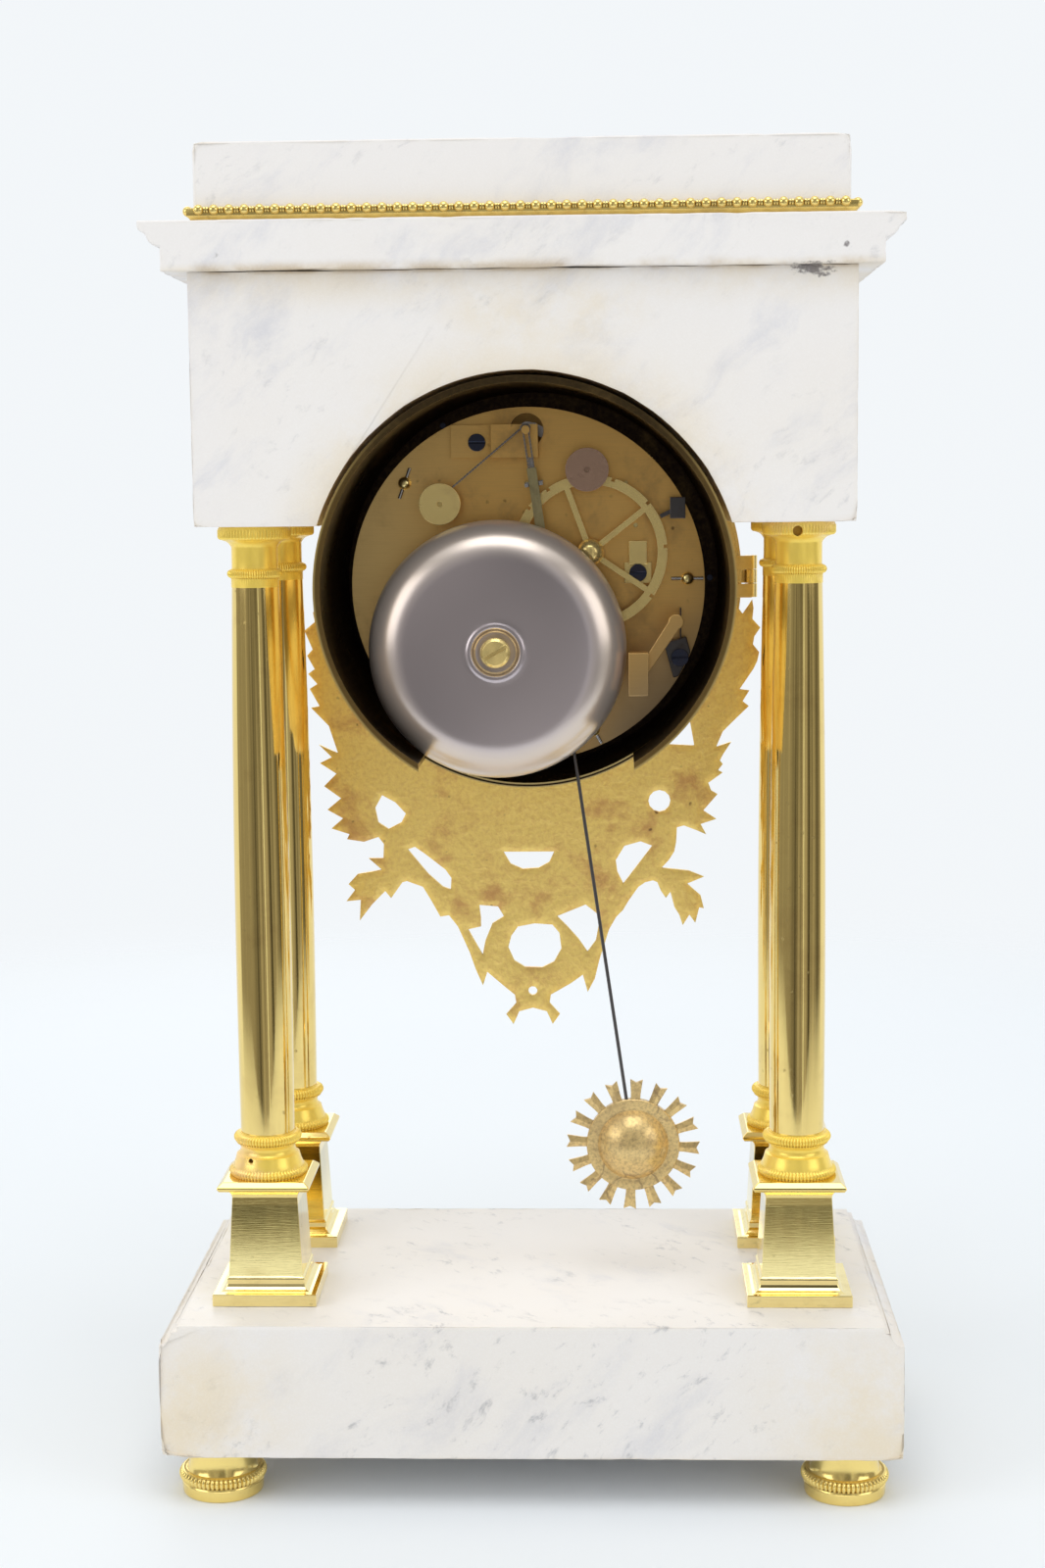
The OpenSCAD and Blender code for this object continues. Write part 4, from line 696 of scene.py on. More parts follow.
class Finish(Enum):
    """Every finish on the clock."""

    MARBLE = Marble()
    MIRROR = Metal(
        "mirror_gilt", colour=(0.91, 0.70, 0.26), tarnish=(0.60, 0.40, 0.15), roughness=0.075, spread=0.05,
        tarnished=0.3, blotches=55.0, grain=(1500.0, 1500.0, 120.0), relief=0.004 * MM, waves=7.0)
    BRUSHED = BrushedMetal(
        "brushed_gilt", colour=(0.91, 0.72, 0.27), tarnish=(0.60, 0.42, 0.15), roughness=0.10, spread=0.05,
        tarnished=0.25, blotches=55.0, grain=(130.0, 130.0, 2200.0), relief=0.012 * MM, waves=3.0,
        mottle=0.15)
    POLISHED = Metal(
        "polished_gilt", colour=(1.0, 0.78, 0.27), tarnish=(0.75, 0.52, 0.18), roughness=0.17, spread=0.08,
        tarnished=0.35, blotches=60.0, dirt=(0.22, 0.12, 0.03), grime=0.5, grain=(1500.0, 1500.0, 1500.0),
        relief=0.012 * MM, metallic=0.85)
    SATIN = Metal(
        "satin_gilt", colour=(1.0, 0.735, 0.13), tarnish=(1.0, 0.66, 0.34), roughness=0.26, spread=0.12,
        tarnished=0.7, blotches=34.0, dirt=(0.25, 0.13, 0.03), grime=0.5, grain=(2600.0, 2600.0, 2600.0),
        relief=0.03 * MM, metallic=0.42)
    ORMOLU = Metal(
        "matt_ormolu", colour=(1.0, 0.75, 0.23), tarnish=(0.62, 0.32, 0.12), roughness=0.36, spread=0.2,
        tarnished=0.85, blotches=58.0, dirt=(0.18, 0.10, 0.04), grain=(650.0, 650.0, 650.0),
        relief=0.2 * MM, metallic=0.5, mottle=0.35)
    BURNISHED = Metal(
        "burnished_gilt", colour=(0.95, 0.73, 0.31), tarnish=(0.66, 0.43, 0.18), roughness=0.24,
        spread=0.15, tarnished=0.4, blotches=60.0, grain=(1400.0, 1400.0, 1400.0), relief=0.03 * MM,
        metallic=0.85)
    TARNISHED = CrackedGilt(
        "tarnished_gilt", colour=(0.82, 0.60, 0.26), tarnish=(0.24, 0.15, 0.085), roughness=0.30,
        spread=0.2, tarnished=0.4, blotches=42.0, dirt=(0.14, 0.08, 0.05), relief=0.06 * MM, metallic=0.6,
        mottle=0.6)
    BRASS = Metal(
        "turned_brass", colour=(0.95, 0.79, 0.36), tarnish=(0.60, 0.42, 0.18), roughness=0.28, spread=0.15,
        tarnished=0.35, blotches=120.0, grain=(2200.0, 500.0, 2200.0), relief=0.012 * MM)
    BRIGHT = Metal(
        "bright_brass", colour=(0.97, 0.75, 0.30), tarnish=(0.66, 0.45, 0.18), roughness=0.22, spread=0.1,
        tarnished=0.3, blotches=120.0, grime=0.35, grain=(2200.0, 500.0, 2200.0), relief=0.01 * MM,
        metallic=0.75)
    PLATE = PlateBrass(
        "plate_brass", colour=(1.0, 0.62, 0.20), tarnish=(0.45, 0.27, 0.12), roughness=0.34, spread=0.2,
        tarnished=0.55, blotches=38.0, grain=(90.0, 900.0, 3200.0), relief=0.015 * MM)
    DRUM = DrumBrass(
        "drum_brass", colour=(0.96, 0.72, 0.28), tarnish=(0.50, 0.33, 0.12), roughness=0.3, spread=0.2,
        tarnished=0.3, blotches=50.0, grain=(700.0, 60.0, 700.0))
    STEEL = Metal(
        "bright_steel", colour=(0.56, 0.56, 0.57), tarnish=(0.28, 0.25, 0.23), roughness=0.26, spread=0.15,
        tarnished=0.5, blotches=150.0, grain=(2500.0, 400.0, 2500.0), relief=0.01 * MM)
    BLUED = Metal(
        "blued_steel", colour=(0.05, 0.058, 0.095), tarnish=(0.09, 0.07, 0.08), roughness=0.17, spread=0.1,
        tarnished=0.6, blotches=180.0, dirt=(0.015, 0.015, 0.02), relief=0.008 * MM, edge=0.2)
    DARK_STEEL = Metal(
        "dark_steel", colour=(0.13, 0.125, 0.13), tarnish=(0.09, 0.065, 0.05), roughness=0.34, spread=0.2,
        tarnished=0.6, blotches=140.0, dirt=(0.03, 0.025, 0.02), grain=(2000.0, 2000.0, 300.0))
    ROD = RodSteel(
        "rod_steel", colour=(0.13, 0.125, 0.13), tarnish=(0.09, 0.065, 0.05), roughness=0.34, spread=0.2,
        tarnished=0.3, blotches=140.0, dirt=(0.03, 0.025, 0.02), grain=(2000.0, 2000.0, 300.0))
    BELL = BellMetal(
        "bell_metal", colour=(0.57, 0.505, 0.525), tarnish=(0.50, 0.43, 0.43), roughness=0.28, spread=0.02,
        tarnished=0.03, blotches=40.0, relief=0.0004 * MM, centre=facing_axis("bell"), grime=0.3,
        mottle=0.05, metallic=0.92, specks=0.0)
    COPPER = Metal(
        "copper_brass", colour=(0.66, 0.44, 0.33), tarnish=(0.36, 0.22, 0.15), roughness=0.26, spread=0.15,
        tarnished=0.5, blotches=150.0)
    ENAMEL = Enamel()
    GLASS = Glass()
    SILK = Plain(
        "dark_silk", colour=(0.10, 0.085, 0.075), other=(0.20, 0.17, 0.14), roughness=0.75, fineness=2400.0,
        relief=0.08 * MM, sheen=0.4)
    BLACK = Plain(
        "black_enamel", colour=(0.012, 0.012, 0.014), other=(0.03, 0.028, 0.03), roughness=0.22,
        fineness=700.0, relief=0.01 * MM)


class Palette:
    """Materials made once and shared."""

    def __init__(self) -> None:
        """Starts empty."""
        self._made: dict[Finish, bpy.types.Material] = {}

    def __getitem__(self, finish: Finish) -> bpy.types.Material:
        """The finish's material, made at its first use."""
        if finish not in self._made:
            self._made[finish] = finish.value.build()
        return self._made[finish]


def arc(centre: Point, radius: float, start: float, end: float, steps: int = 8) -> list[Point]:
    """Points of an arc, with its angles in degrees."""
    turns = [math.radians(start + (end - start) * i / steps) for i in range(steps + 1)]
    return [(centre[0] + radius * math.cos(t), centre[1] + radius * math.sin(t)) for t in turns]


@dataclass(frozen=True)
class Ring:
    """One station of a turned profile, in millimetres, with the depth of its milling."""

    radius: float
    height: float
    cut: float = 0.0


def rings(points: Sequence[Point], cut: float = 0.0) -> list[Ring]:
    """Stations from plain points."""
    return [Ring(r, h, cut) for r, h in points]


Placer = Callable[[float, float, float], Vector]


def upright(x: float, y: float, z: float) -> Placer:
    """Puts a turned piece on a vertical axis through a point in metres."""
    return lambda a, b, h: Vector((x + a * MM, y + b * MM, z + h * MM))


def facing(x: float, z: float) -> Placer:
    """Puts a turned piece on an axis along Y, with its heights as Y in millimetres."""
    return lambda a, b, h: Vector((x + a * MM, h * MM, z + b * MM))


def sideways(y: float, z: float) -> Placer:
    """Puts a turned piece on an axis along X, with its heights as X in millimetres."""
    return lambda a, b, h: Vector((h * MM, y + a * MM, z + b * MM))


class Shape:
    """Vertices and faces that grow into one mesh."""

    def __init__(self) -> None:
        """Starts empty."""
        self.points: list[Vector] = []
        self.faces: list[tuple[int, ...]] = []

    def add(self, points: Sequence[Vector], faces: Sequence[Sequence[int]]) -> None:
        """Adds points, and faces that number them from 0."""
        first = len(self.points)
        self.points.extend(points)
        self.faces.extend(tuple(first + i for i in face) for face in faces)

    def grid(self, rows: Sequence[Sequence[Vector]], around: bool = False, ends: bool = False) -> None:
        """Adds rows of points joined by quads.

        Args:
            rows: rows with as many points each.
            around: joins each row's last point to its first.
            ends: closes the first and the last row with a face.
        """
        n = len(rows[0])
        last = n if around else n - 1
        faces = [(i * n + j, i * n + (j + 1) % n, (i + 1) * n + (j + 1) % n, (i + 1) * n + j)
                 for i in range(len(rows) - 1) for j in range(last)]
        if ends:
            faces.append(tuple(reversed(range(n))))
            faces.append(tuple((len(rows) - 1) * n + j for j in range(n)))
        self.add([point for row in rows for point in row], faces)

    def turned(self, stations: Sequence[Ring], place: Placer, flutes: int = 0, sides: int = 64,
               ends: bool = True) -> None:
        """Adds a turned form, milled where its stations say so.

        Args:
            stations: profile from one end to the other.
            place: puts the form in the frame.
            flutes: ribs of the milling around it.
            sides: facets around it where it has no milling.
            ends: closes it with flat faces.
        """
        count = flutes * FLUTE_FACETS if flutes else sides
        rows = []
        for ring in stations:
            row = []
            for j in range(count):
                turn = 2 * math.pi * j / count
                radius = ring.radius - ring.cut * (1 - abs(math.cos(flutes * turn / 2)))
                row.append(place(radius * math.cos(turn), radius * math.sin(turn), ring.height))
            rows.append(row)
        self.grid(rows, around=True, ends=ends)

    def prism(self, outline: Sequence[Vector], back: Sequence[Vector]) -> None:
        """Adds a closed form between two outlines with as many points."""
        self.grid([outline, back], around=True, ends=True)

    def tube(self, path: Sequence[Vector], radius: float, sides: int = 8) -> None:
        """Adds a round tube along a path."""
        rows = []
        side = Vector((0.0, 1.0, 0.0))
        for i, point in enumerate(path):
            ahead = (path[min(i + 1, len(path) - 1)] - path[max(i - 1, 0)]).normalized()
            side = (side - ahead * side.dot(ahead)).normalized()
            other = ahead.cross(side)
            turns = [2 * math.pi * j / sides for j in range(sides)]
            rows.append([point + radius * (side * math.cos(t) + other * math.sin(t)) for t in turns])
        self.grid(rows, around=True, ends=True)

    def piece(self, name: str, material: bpy.types.Material, angle: float = SHARP_ANGLE) -> bpy.types.Object:
        """Makes the mesh object.

        Args:
            name: the piece's name.
            material: its finish.
            angle: sharpest edge, in degrees, that is still shaded smooth.

        Returns:
            The object, linked to the scene.
        """
        mesh = bpy.data.meshes.new(name)
        mesh.from_pydata([tuple(p) for p in self.points], [], self.faces)
        form = bmesh.new()
        form.from_mesh(mesh)
        bmesh.ops.remove_doubles(form, verts=form.verts, dist=1e-7)
        bmesh.ops.recalc_face_normals(form, faces=form.faces)
        form.to_mesh(mesh)
        form.free()
        return link_piece(name, mesh, material, angle)


def link_piece(name: str, mesh: bpy.types.Mesh, material: bpy.types.Material,
               angle: float = SHARP_ANGLE) -> bpy.types.Object:
    """Links a mesh to the scene as a piece with a finish and smooth shading up to an angle."""
    mesh.materials.clear()
    mesh.materials.append(material)
    mesh.shade_smooth()
    mesh.set_sharp_from_angle(angle=math.radians(angle))
    piece = bpy.data.objects.new(name, mesh)
    bpy.context.scene.collection.objects.link(piece)
    return piece


def cad_form(node: str) -> bmesh.types.BMesh:
    """A welded copy of a solid's mesh with its flat faces whole."""
    form = bmesh.new()
    form.from_mesh(frame["nodes"][node].data)
    bmesh.ops.remove_doubles(form, verts=form.verts, dist=WELD)
    bmesh.ops.dissolve_limit(form, angle_limit=FLAT_ANGLE, verts=form.verts, edges=form.edges)
    return form


@dataclass
class Assembly:
    """A group of pieces that are built and dressed together."""

    palette: Palette

    def dress(self, node: str, finish: Finish, bevel: float = 0.0) -> bpy.types.Object:
        """Finishes a solid as it stands, with its sharp edges eased.

        Args:
            node: the solid's name.
            finish: its finish.
            bevel: width of the eased edges in millimetres, or 0.

        Returns:
            The solid's object.
        """
        solid = frame["nodes"][node]
        solid.data.materials.clear()
        solid.data.materials.append(self.palette[finish])
        if bevel:
            weld = solid.modifiers.new("weld", "WELD")
            weld.merge_threshold = WELD
            flat = solid.modifiers.new("flatten", "DECIMATE")
            flat.decimate_type = "DISSOLVE"
            flat.angle_limit = FLAT_ANGLE
            ease = solid.modifiers.new("ease", "BEVEL")
            ease.width = bevel * MM
            ease.segments = 2
            ease.limit_method = "ANGLE"
            ease.angle_limit = math.radians(SHARP_ANGLE)
            ease.miter_outer = "MITER_ARC"
            even = solid.modifiers.new("even", "WEIGHTED_NORMAL")
            even.keep_sharp = True
        LOG.info("dressed %s", node)
        return solid

    def stand_for(self, piece: bpy.types.Object, body: str, slot: str, *nodes: str) -> bpy.types.Object:
        """Rides a new piece on a body in place of solids.

        Args:
            piece: the new piece.
            body: the body that carries it.
            slot: the record's material slot; not used.
            nodes: the solids it replaces, if any.

        Returns:
            The piece.
        """
        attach(piece, body)
        if nodes:
            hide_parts(*nodes)
        LOG.info("built %s", piece.name)
        return piece


@dataclass
class MarbleCase(Assembly):
    """The four marble blocks, with eased and nibbled edges.

    A nibble holds its noise cells per metre, the noise that it starts at and its depth in millimetres. A chip
    holds its place and its size in millimetres.
    """

    blocks: tuple[str, ...] = ("base_slab", "frieze_block", "cornice_slab", "attic_block")
    ease: float = 0.7
    step: float = 2.5
    corner: float = 32.0
    sliver: float = 40.0
    nibbles: tuple[Triple, ...] = ((160.0, 0.12, 0.55), (45.0, 0.42, 1.65))
    chips: tuple[tuple[float, float, float, float], ...] = (
        (125.0, 70.5, 18.0, 7.0), (-125.0, 70.5, 64.0, 6.0), (125.0, 70.5, 57.0, 4.0),
        (-125.0, 70.5, 18.0, 5.0), (-109.5, 48.5, 330.5, 4.0), (109.5, 48.5, 330.5, 3.0),
        (-125.0, 52.5, 430.0, 4.0), (107.0, 47.5, 455.4, 3.0), (-107.0, 47.5, 455.4, 4.0))
    chip_depth: float = 0.32
    tear: float = 0.5
    tear_cells: float = 400.0

    def build(self) -> None:
        """Makes every block."""
        for node in self.blocks:
            self.block(node)

    def block(self, node: str) -> None:
        """Makes one block from its solid, with the edges rounded and chipped."""
        form = cad_form(node)
        corner = math.radians(self.corner)
        sharp = [e for e in form.edges if len(e.link_faces) == 2 and e.calc_face_angle() > corner]
        bmesh.ops.bevel(form, geom=sharp, offset=self.ease * MM, segments=3, profile=0.6, affect="EDGES",
                        clamp_overlap=True)
        for strip in self.strips(form):
            cuts = int(max(e.calc_length() for e in strip) / (self.step * MM))
            bmesh.ops.subdivide_edges(form, edges=strip, cuts=cuts)
        form.normal_update()
        edge_points = {v for f in form.faces if f.calc_area() < self.sliver * MM * MM for v in f.verts}
        for vert in sorted(edge_points, key=lambda v: v.index):
            vert.co -= vert.normal * self.depth(vert.co)
        mesh = bpy.data.meshes.new(node + "_stone")
        form.to_mesh(mesh)
        form.free()
        piece = link_piece(node + "_stone", mesh, self.palette[Finish.MARBLE], 50.0)
        even = piece.modifiers.new("even", "WEIGHTED_NORMAL")
        even.keep_sharp = True
        self.stand_for(piece, "case", "marble", node)

    def strips(self, form: bmesh.types.BMesh) -> list[list[bmesh.types.BMEdge]]:
        """Long edges of the eased corners, grouped by the corner they run along."""
        groups: dict[bmesh.types.BMEdge, list[bmesh.types.BMEdge]] = {}
        for face in form.faces:
            if len(face.verts) != 4 or min(e.calc_length() for e in face.edges) > self.ease * MM:
                continue
            edges = [e for e in face.edges if e.calc_length() > 2 * self.step * MM]
            whole = list(dict.fromkeys([*edges, *(other for e in edges for other in groups.get(e, []))]))
            groups.update((e, whole) for e in whole)
        return list({id(group): group for group in groups.values()}.values())

    def depth(self, place: Vector) -> float:
        """How deep the stone is worn at a point of an edge, in metres."""
        wear = 0.0
        for cells, start, deep in self.nibbles:
            wear += max(0.0, noise.noise(place * cells) - start) * deep * MM
        for x, y, z, size in self.chips:
            far = (place - Vector((x, y, z)) * MM).length / (size * MM)
            if far < 1.0:
                torn = 1.0 + self.tear * noise.noise(place * self.tear_cells)
                wear += (1.0 - far) * size * self.chip_depth * MM * torn
        return wear


@dataclass
class GiltColumns(Assembly):
    """Feet, pedestals, column bases, shafts and capitals.

    A pin holds its place across and up and its radius, in millimetres.
    """

    foot_radius: float = 15.0
    foot_flutes: int = 56
    ring_flutes: int = 66
    shaft_sides: int = 112
    core: float = 2.7
    base_pin: Triple = (4.7, 6.2, 0.85)
    capital_pin: Triple = (1.3, 17.5, 1.7)
    pin_span: Point = (6.0, 20.0)

    def build(self) -> None:
        """Makes every gilt piece of the case."""
        shafts = [f"column_shaft_{i}" for i in range(1, 5)]
        axes = [self.middle(node) for node in shafts]
        self.dress("pedestals", Finish.BRUSHED, 0.25)
        self.dress("tie_rods", Finish.DARK_STEEL)
        for node in shafts:
            self.shaft(node)
        self.turned_set("feet", self.foot(), self.foot_places(), "ormolu", self.foot_flutes, Finish.POLISHED)
        for node, profile, bored, pin in (("column_bases", self.base(), axes[3], self.base_pin),
                                          ("capitals", self.capital(), axes[2], self.capital_pin)):
            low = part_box(node)[0].z
            places = [(x, y, low) for x, y in axes]
            piece = self.turned_set(node, profile, places, "gilt", self.ring_flutes, Finish.SATIN)
            self.bore(piece, bored, low, pin)

    @staticmethod
    def middle(node: str) -> Point:
        """Axis of an upright piece."""
        low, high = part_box(node)
        return ((low.x + high.x) / 2, (low.y + high.y) / 2)

    def foot_places(self) -> list[Triple]:
        """Places of the four feet."""
        low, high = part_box("feet")
        inset = self.foot_radius * MM
        return [(x, y, 0.0) for x in (low.x + inset, high.x - inset) for y in (low.y + inset, high.y - inset)]

    def foot(self) -> list[Ring]:
        """Profile of a bun foot with its milled ring and waisted neck."""
        bulge = (12.89, 6.48)
        return [
            *rings([(13.4, 0.0), (13.7, 0.25), (13.85, 0.7), (14.05, 3.9), (13.7, 4.3)]),
            *rings(arc(bulge, 2.11, -68, -58, 1)),
            *rings(arc(bulge, 2.15, -54, 54, 9), 0.85),
            *rings(arc(bulge, 2.11, 58, 68, 1)),
            *rings([(13.2, 8.45), (12.75, 8.3), (12.3, 8.45), (12.0, 9.0)]),
            *rings([(11.55, 10.6), (11.15, 13.0), (11.1, 18.0)]),
        ]

    def base(self) -> list[Ring]:
        """Profile of a column base with two milled rings."""
        return [
            *rings([(self.core, 0.0), (13.0, 0.0)]),
            *rings(arc((12.4, 1.2), 1.2, -60, 75, 7), 0.5),
            *rings([(12.2, 2.9), (12.2, 3.1), (11.5, 4.6)]),
            *rings(arc((11.6, 9.0), 2.2, 250, 110, 10)),
            *rings(arc((10.2, 12.9), 1.55, -70, 80, 8), 0.5),
            *rings([(9.75, 14.6), (9.7, 15.0), (self.core, 15.0)]),
        ]

    def capital(self) -> list[Ring]:
        """Profile of a capital with a milled neck ring and rim."""
        return [
            *rings([(self.core, 0.0), (8.05, 0.0), (8.05, 2.9)]),
            *rings(arc((7.95, 4.6), 1.45, -80, 80, 9), 0.46),
            *rings([(7.75, 6.3), (7.75, 13.4), (8.0, 13.95), (8.75, 14.9), (9.6, 15.5)]),
            *rings(arc((11.15, 17.2), 1.2, -90, 0, 6), 0.3),
            *rings([(12.35, 18.2), (12.35, 19.3)], 0.3),
            *rings([(12.2, 19.5), (11.75, 20.5), (self.core, 20.5)]),
        ]

    def turned_set(self, node: str, profile: list[Ring], places: list[Triple], slot: str, flutes: int,
                   finish: Finish) -> bpy.types.Object:
        """Makes all copies of a turned piece as one mesh.

        Args:
            node: the solids that it stands for.
            profile: stations from the foot up.
            places: the foot of every copy, in metres.
            slot: the record's material slot.
            flutes: ribs of the milling around it.
            finish: its finish.

        Returns:
            The piece.
        """
        shape = Shape()
        for place in places:
            shape.turned(profile, upright(*place), flutes)
        return self.stand_for(shape.piece(node + "_turned", self.palette[finish], 40.0), "case", slot, node)

    def bore(self, piece: bpy.types.Object, axis: Point, low: float, pin: Triple) -> None:
        """Cuts a pin hole into the back of one column's ring.

        Args:
            piece: the turned pieces.
            axis: the column's axis in metres.
            low: height of the ring's foot in metres.
            pin: the hole's place across and up, and its radius, in millimetres.
        """
        across, up, radius = pin
        shape = Shape()
        profile = rings([(radius, axis[1] / MM + back) for back in self.pin_span])
        shape.turned(profile, facing(axis[0] + across * MM, low + up * MM), sides=24)
        cutter = shape.piece("pin_cutter", piece.data.materials[0])
        cut = piece.modifiers.new("pin_hole", "BOOLEAN")
        cut.operation = "DIFFERENCE"
        cut.object = cutter
        bpy.context.view_layer.update()
        bored = bpy.data.meshes.new_from_object(piece.evaluated_get(bpy.context.evaluated_depsgraph_get()))
        piece.modifiers.clear()
        piece.data = bored
        bpy.data.objects.remove(cutter)

    def shaft(self, node: str) -> None:
        """Makes one shaft with the outline of its solid, turned fine enough for a mirror."""
        x, y = self.middle(node)
        reach: dict[float, float] = {}
        for vert in frame["nodes"][node].data.vertices:
            level = round(vert.co.z, 6)
            reach[level] = max(reach.get(level, 0.0), math.hypot(vert.co.x - x, vert.co.y - y))
        low = min(reach)
        profile = [Ring(r / MM, (z - low) / MM) for z, r in sorted(reach.items())]
        shape = Shape()
        shape.turned(profile, upright(x, y, low), sides=self.shaft_sides)
        piece = shape.piece(node + "_polished", self.palette[Finish.MIRROR], 60.0)
        self.stand_for(piece, "case", "gilt", node)


@dataclass
class BeadRow(Assembly):
    """The gilt strip round the attic with its row of beads and reels."""

    pitch: float = 5.0
    bead: float = 1.7
    bead_turn: float = 78.261
    reel: float = 1.0
    reel_half: Point = (0.24, 0.34)
    reel_apart: float = 0.42
    neck: float = 0.5
    back: float = 0.05
    out: float = 2.3
    height: float = 3.4
    sides: int = 14

    def build(self) -> None:
        """Makes the strip and its four strings of beads."""
        low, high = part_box("attic_block")
        half_x, half_y = high.x / MM, high.y / MM
        shape = Shape()
        lip = self.out - 0.3
        strip = [(self.back, 0.02), (0.7, 0.0), (self.out - 0.5, 1.4), (lip, 1.7), (lip, 3.8),
                 (self.out - 0.6, 4.1), (self.back, 4.2)]
        corners = [(1, 1), (-1, 1), (-1, -1), (1, -1), (1, 1)]
        rows = [[Vector((sx * (half_x + o) * MM, sy * (half_y + o) * MM, low.z + h * MM)) for o, h in strip]
                for sx, sy in corners]
        shape.grid(rows, around=True)
        z = low.z + self.height * MM
        for side in (-1, 1):
            y = side * (half_y + self.out) * MM
            shape.turned(self.string(half_x), sideways(y, z), sides=self.sides)
            x = side * (half_x + self.out) * MM
            shape.turned(self.string(half_y), facing(x, z), sides=self.sides)
        piece = shape.piece("bead_row", self.palette[Finish.POLISHED], 50.0)
        self.stand_for(piece, "case", "ormolu", "bead_moulding")

    def string(self, half: float) -> list[Ring]:
        """Profile of a string of beads along a block's side, with a pair of reels between neighbours."""
        count = math.floor((half + self.out) / self.pitch)
        crest, foot = self.reel_half
        profile = []
        for i in range(-count, count + 1):
            middle = i * self.pitch
            profile += rings(arc((0.0, middle), self.bead, -self.bead_turn, self.bead_turn))
            if i < count:
                for apart in (-self.reel_apart, self.reel_apart):
                    edge = middle + self.pitch / 2 + apart
                    profile += rings([(self.neck, edge - foot), (self.reel, edge - crest),
                                      (self.reel, edge + crest), (self.neck, edge + foot)])
        return profile


@dataclass
class DrumAndApron(Assembly):
    """The drum that holds the movement, and the leafy apron under it."""

    spacing: float = 1.4
    row: float = 0.866
    clear: float = 0.45
    swell: float = 1.7
    round_off: float = 2.2
    wear: float = 0.5
    wear_reach: float = 0.6
    veins: int = 38
    vein_depth: float = 0.4
    vein_drift: float = 3.0
    drift_cells: float = 0.16
    dent: float = 0.35
    dent_cells: float = 0.45
    flange: Point = (76.2, 80.0)

    def build(self) -> None:
        """Dresses the drum and makes the apron's relief."""
        self.dress("drum", Finish.DRUM, 0.15)
        self.dress("screws", Finish.BLUED, 0.1)
        self.axis = np.array(facing_axis("enamel_dial")) / MM
        self.apron()

    def rim(self, rear: float) -> np.ndarray:
        """Borders of the apron's rear face as short segments, in millimetres about the drum's axis."""
        form = cad_form("apron_mount")
        face = {f for f in form.faces if f.normal.y > 0.9 and f.calc_center_median().y > rear - 0.1 * MM}
        pieces = []
        for edge in form.edges:
            if sum(f in face for f in edge.link_faces) != 1:
                continue
            a, b = (np.array([v.co.x, v.co.z]) / MM - self.axis for v in edge.verts)
            count = max(1, round(float(np.linalg.norm(b - a)) / self.spacing))
            steps = np.linspace(0.0, 1.0, count + 1)[:, None]
            line = a + (b - a) * steps
            pieces.append(np.stack([line[:-1], line[1:]], axis=1))
        form.free()
        return np.concatenate(pieces)

    @staticmethod
    def inside(spots: np.ndarray, rim: np.ndarray) -> np.ndarray:
        """Which spots lie within the borders."""
        (x0, z0), (x1, z1) = rim[:, 0].T, rim[:, 1].T
        x, z = spots[:, :1], spots[:, 1:]
        spans = (z0 > z) != (z1 > z)
        rise = np.where(z1 == z0, 1.0, z1 - z0)
        return (spans & (x < x0 + (z - z0) * (x1 - x0) / rise)).sum(axis=1) % 2 == 1

    @staticmethod
    def to_rim(spots: np.ndarray, rim: np.ndarray) -> np.ndarray:
        """Distance of every spot from the nearest border."""
        along = rim[:, 1] - rim[:, 0]
        offset = spots[:, None, :] - rim[None, :, 0]
        share = np.clip((offset * along).sum(axis=2) / (along ** 2).sum(axis=1), 0.0, 1.0)
        return np.linalg.norm(offset - share[..., None] * along, axis=2).min(axis=1)

    def filling(self, rim: np.ndarray) -> np.ndarray:
        """Evenly spread spots within the borders."""
        low, high = rim.min(axis=(0, 1)), rim.max(axis=(0, 1))
        rows = np.arange(low[1], high[1], self.spacing * self.row)
        spots = [(x + self.spacing / 2 * (i % 2), z) for i, z in enumerate(rows)
                 for x in np.arange(low[0], high[0], self.spacing)]
        spread = np.array(spots)
        spread = spread[self.inside(spread, rim)]
        return spread[self.to_rim(spread, rim) > self.clear * self.spacing]

    def apron(self) -> None:
        """Makes the cast apron: swelling veined leaves in front, a rough back with rounded edges."""
        low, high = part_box("apron_mount")
        rim = self.rim(high.y)
        ends, number = np.unique(rim.reshape(-1, 2).round(4), axis=0, return_inverse=True)
        segments = [(int(i), int(j)) for i, j in number.reshape(-1, 2)]
        spots = [Vector(p) for p in np.concatenate([ends, self.filling(rim)])]
        found = delaunay_2d_cdt(spots, segments, [], 0, 1e-4)
        places = np.array([tuple(v) for v in found[0]])
        middles = np.array([places[list(face)].mean(axis=0) for face in found[2]])
        faces = [face for face, kept in zip(found[2], self.inside(middles, rim)) if kept]
        depth = self.to_rim(places, rim)
        front, back = [], []
        for (x, z), d in zip(places, depth):
            raised, worn = self.relief(float(x), float(z), float(d))
            spot = (np.array([x, z]) + self.axis) * MM
            front.append(Vector((spot[0], low.y - raised * MM, spot[1])))
            back.append(Vector((spot[0], high.y - worn * MM, spot[1])))
        sides: dict[tuple[int, int], int] = {}
        for face in faces:
            for i, j in zip(face, [*face[1:], face[0]]):
                key = (min(i, j), max(i, j))
                sides[key] = sides.get(key, 0) + 1
        n = len(places)
        walls = [(i, j, n + j, n + i) for (i, j), used in sides.items() if used == 1]
        shape = Shape()
        shape.add([*front, *back], [*faces, *(tuple(n + i for i in face) for face in faces), *walls])
        piece = shape.piece("apron_relief", self.palette[Finish.ORMOLU], 50.0)
        self.stand_for(piece, "case", "ormolu", "apron_mount")

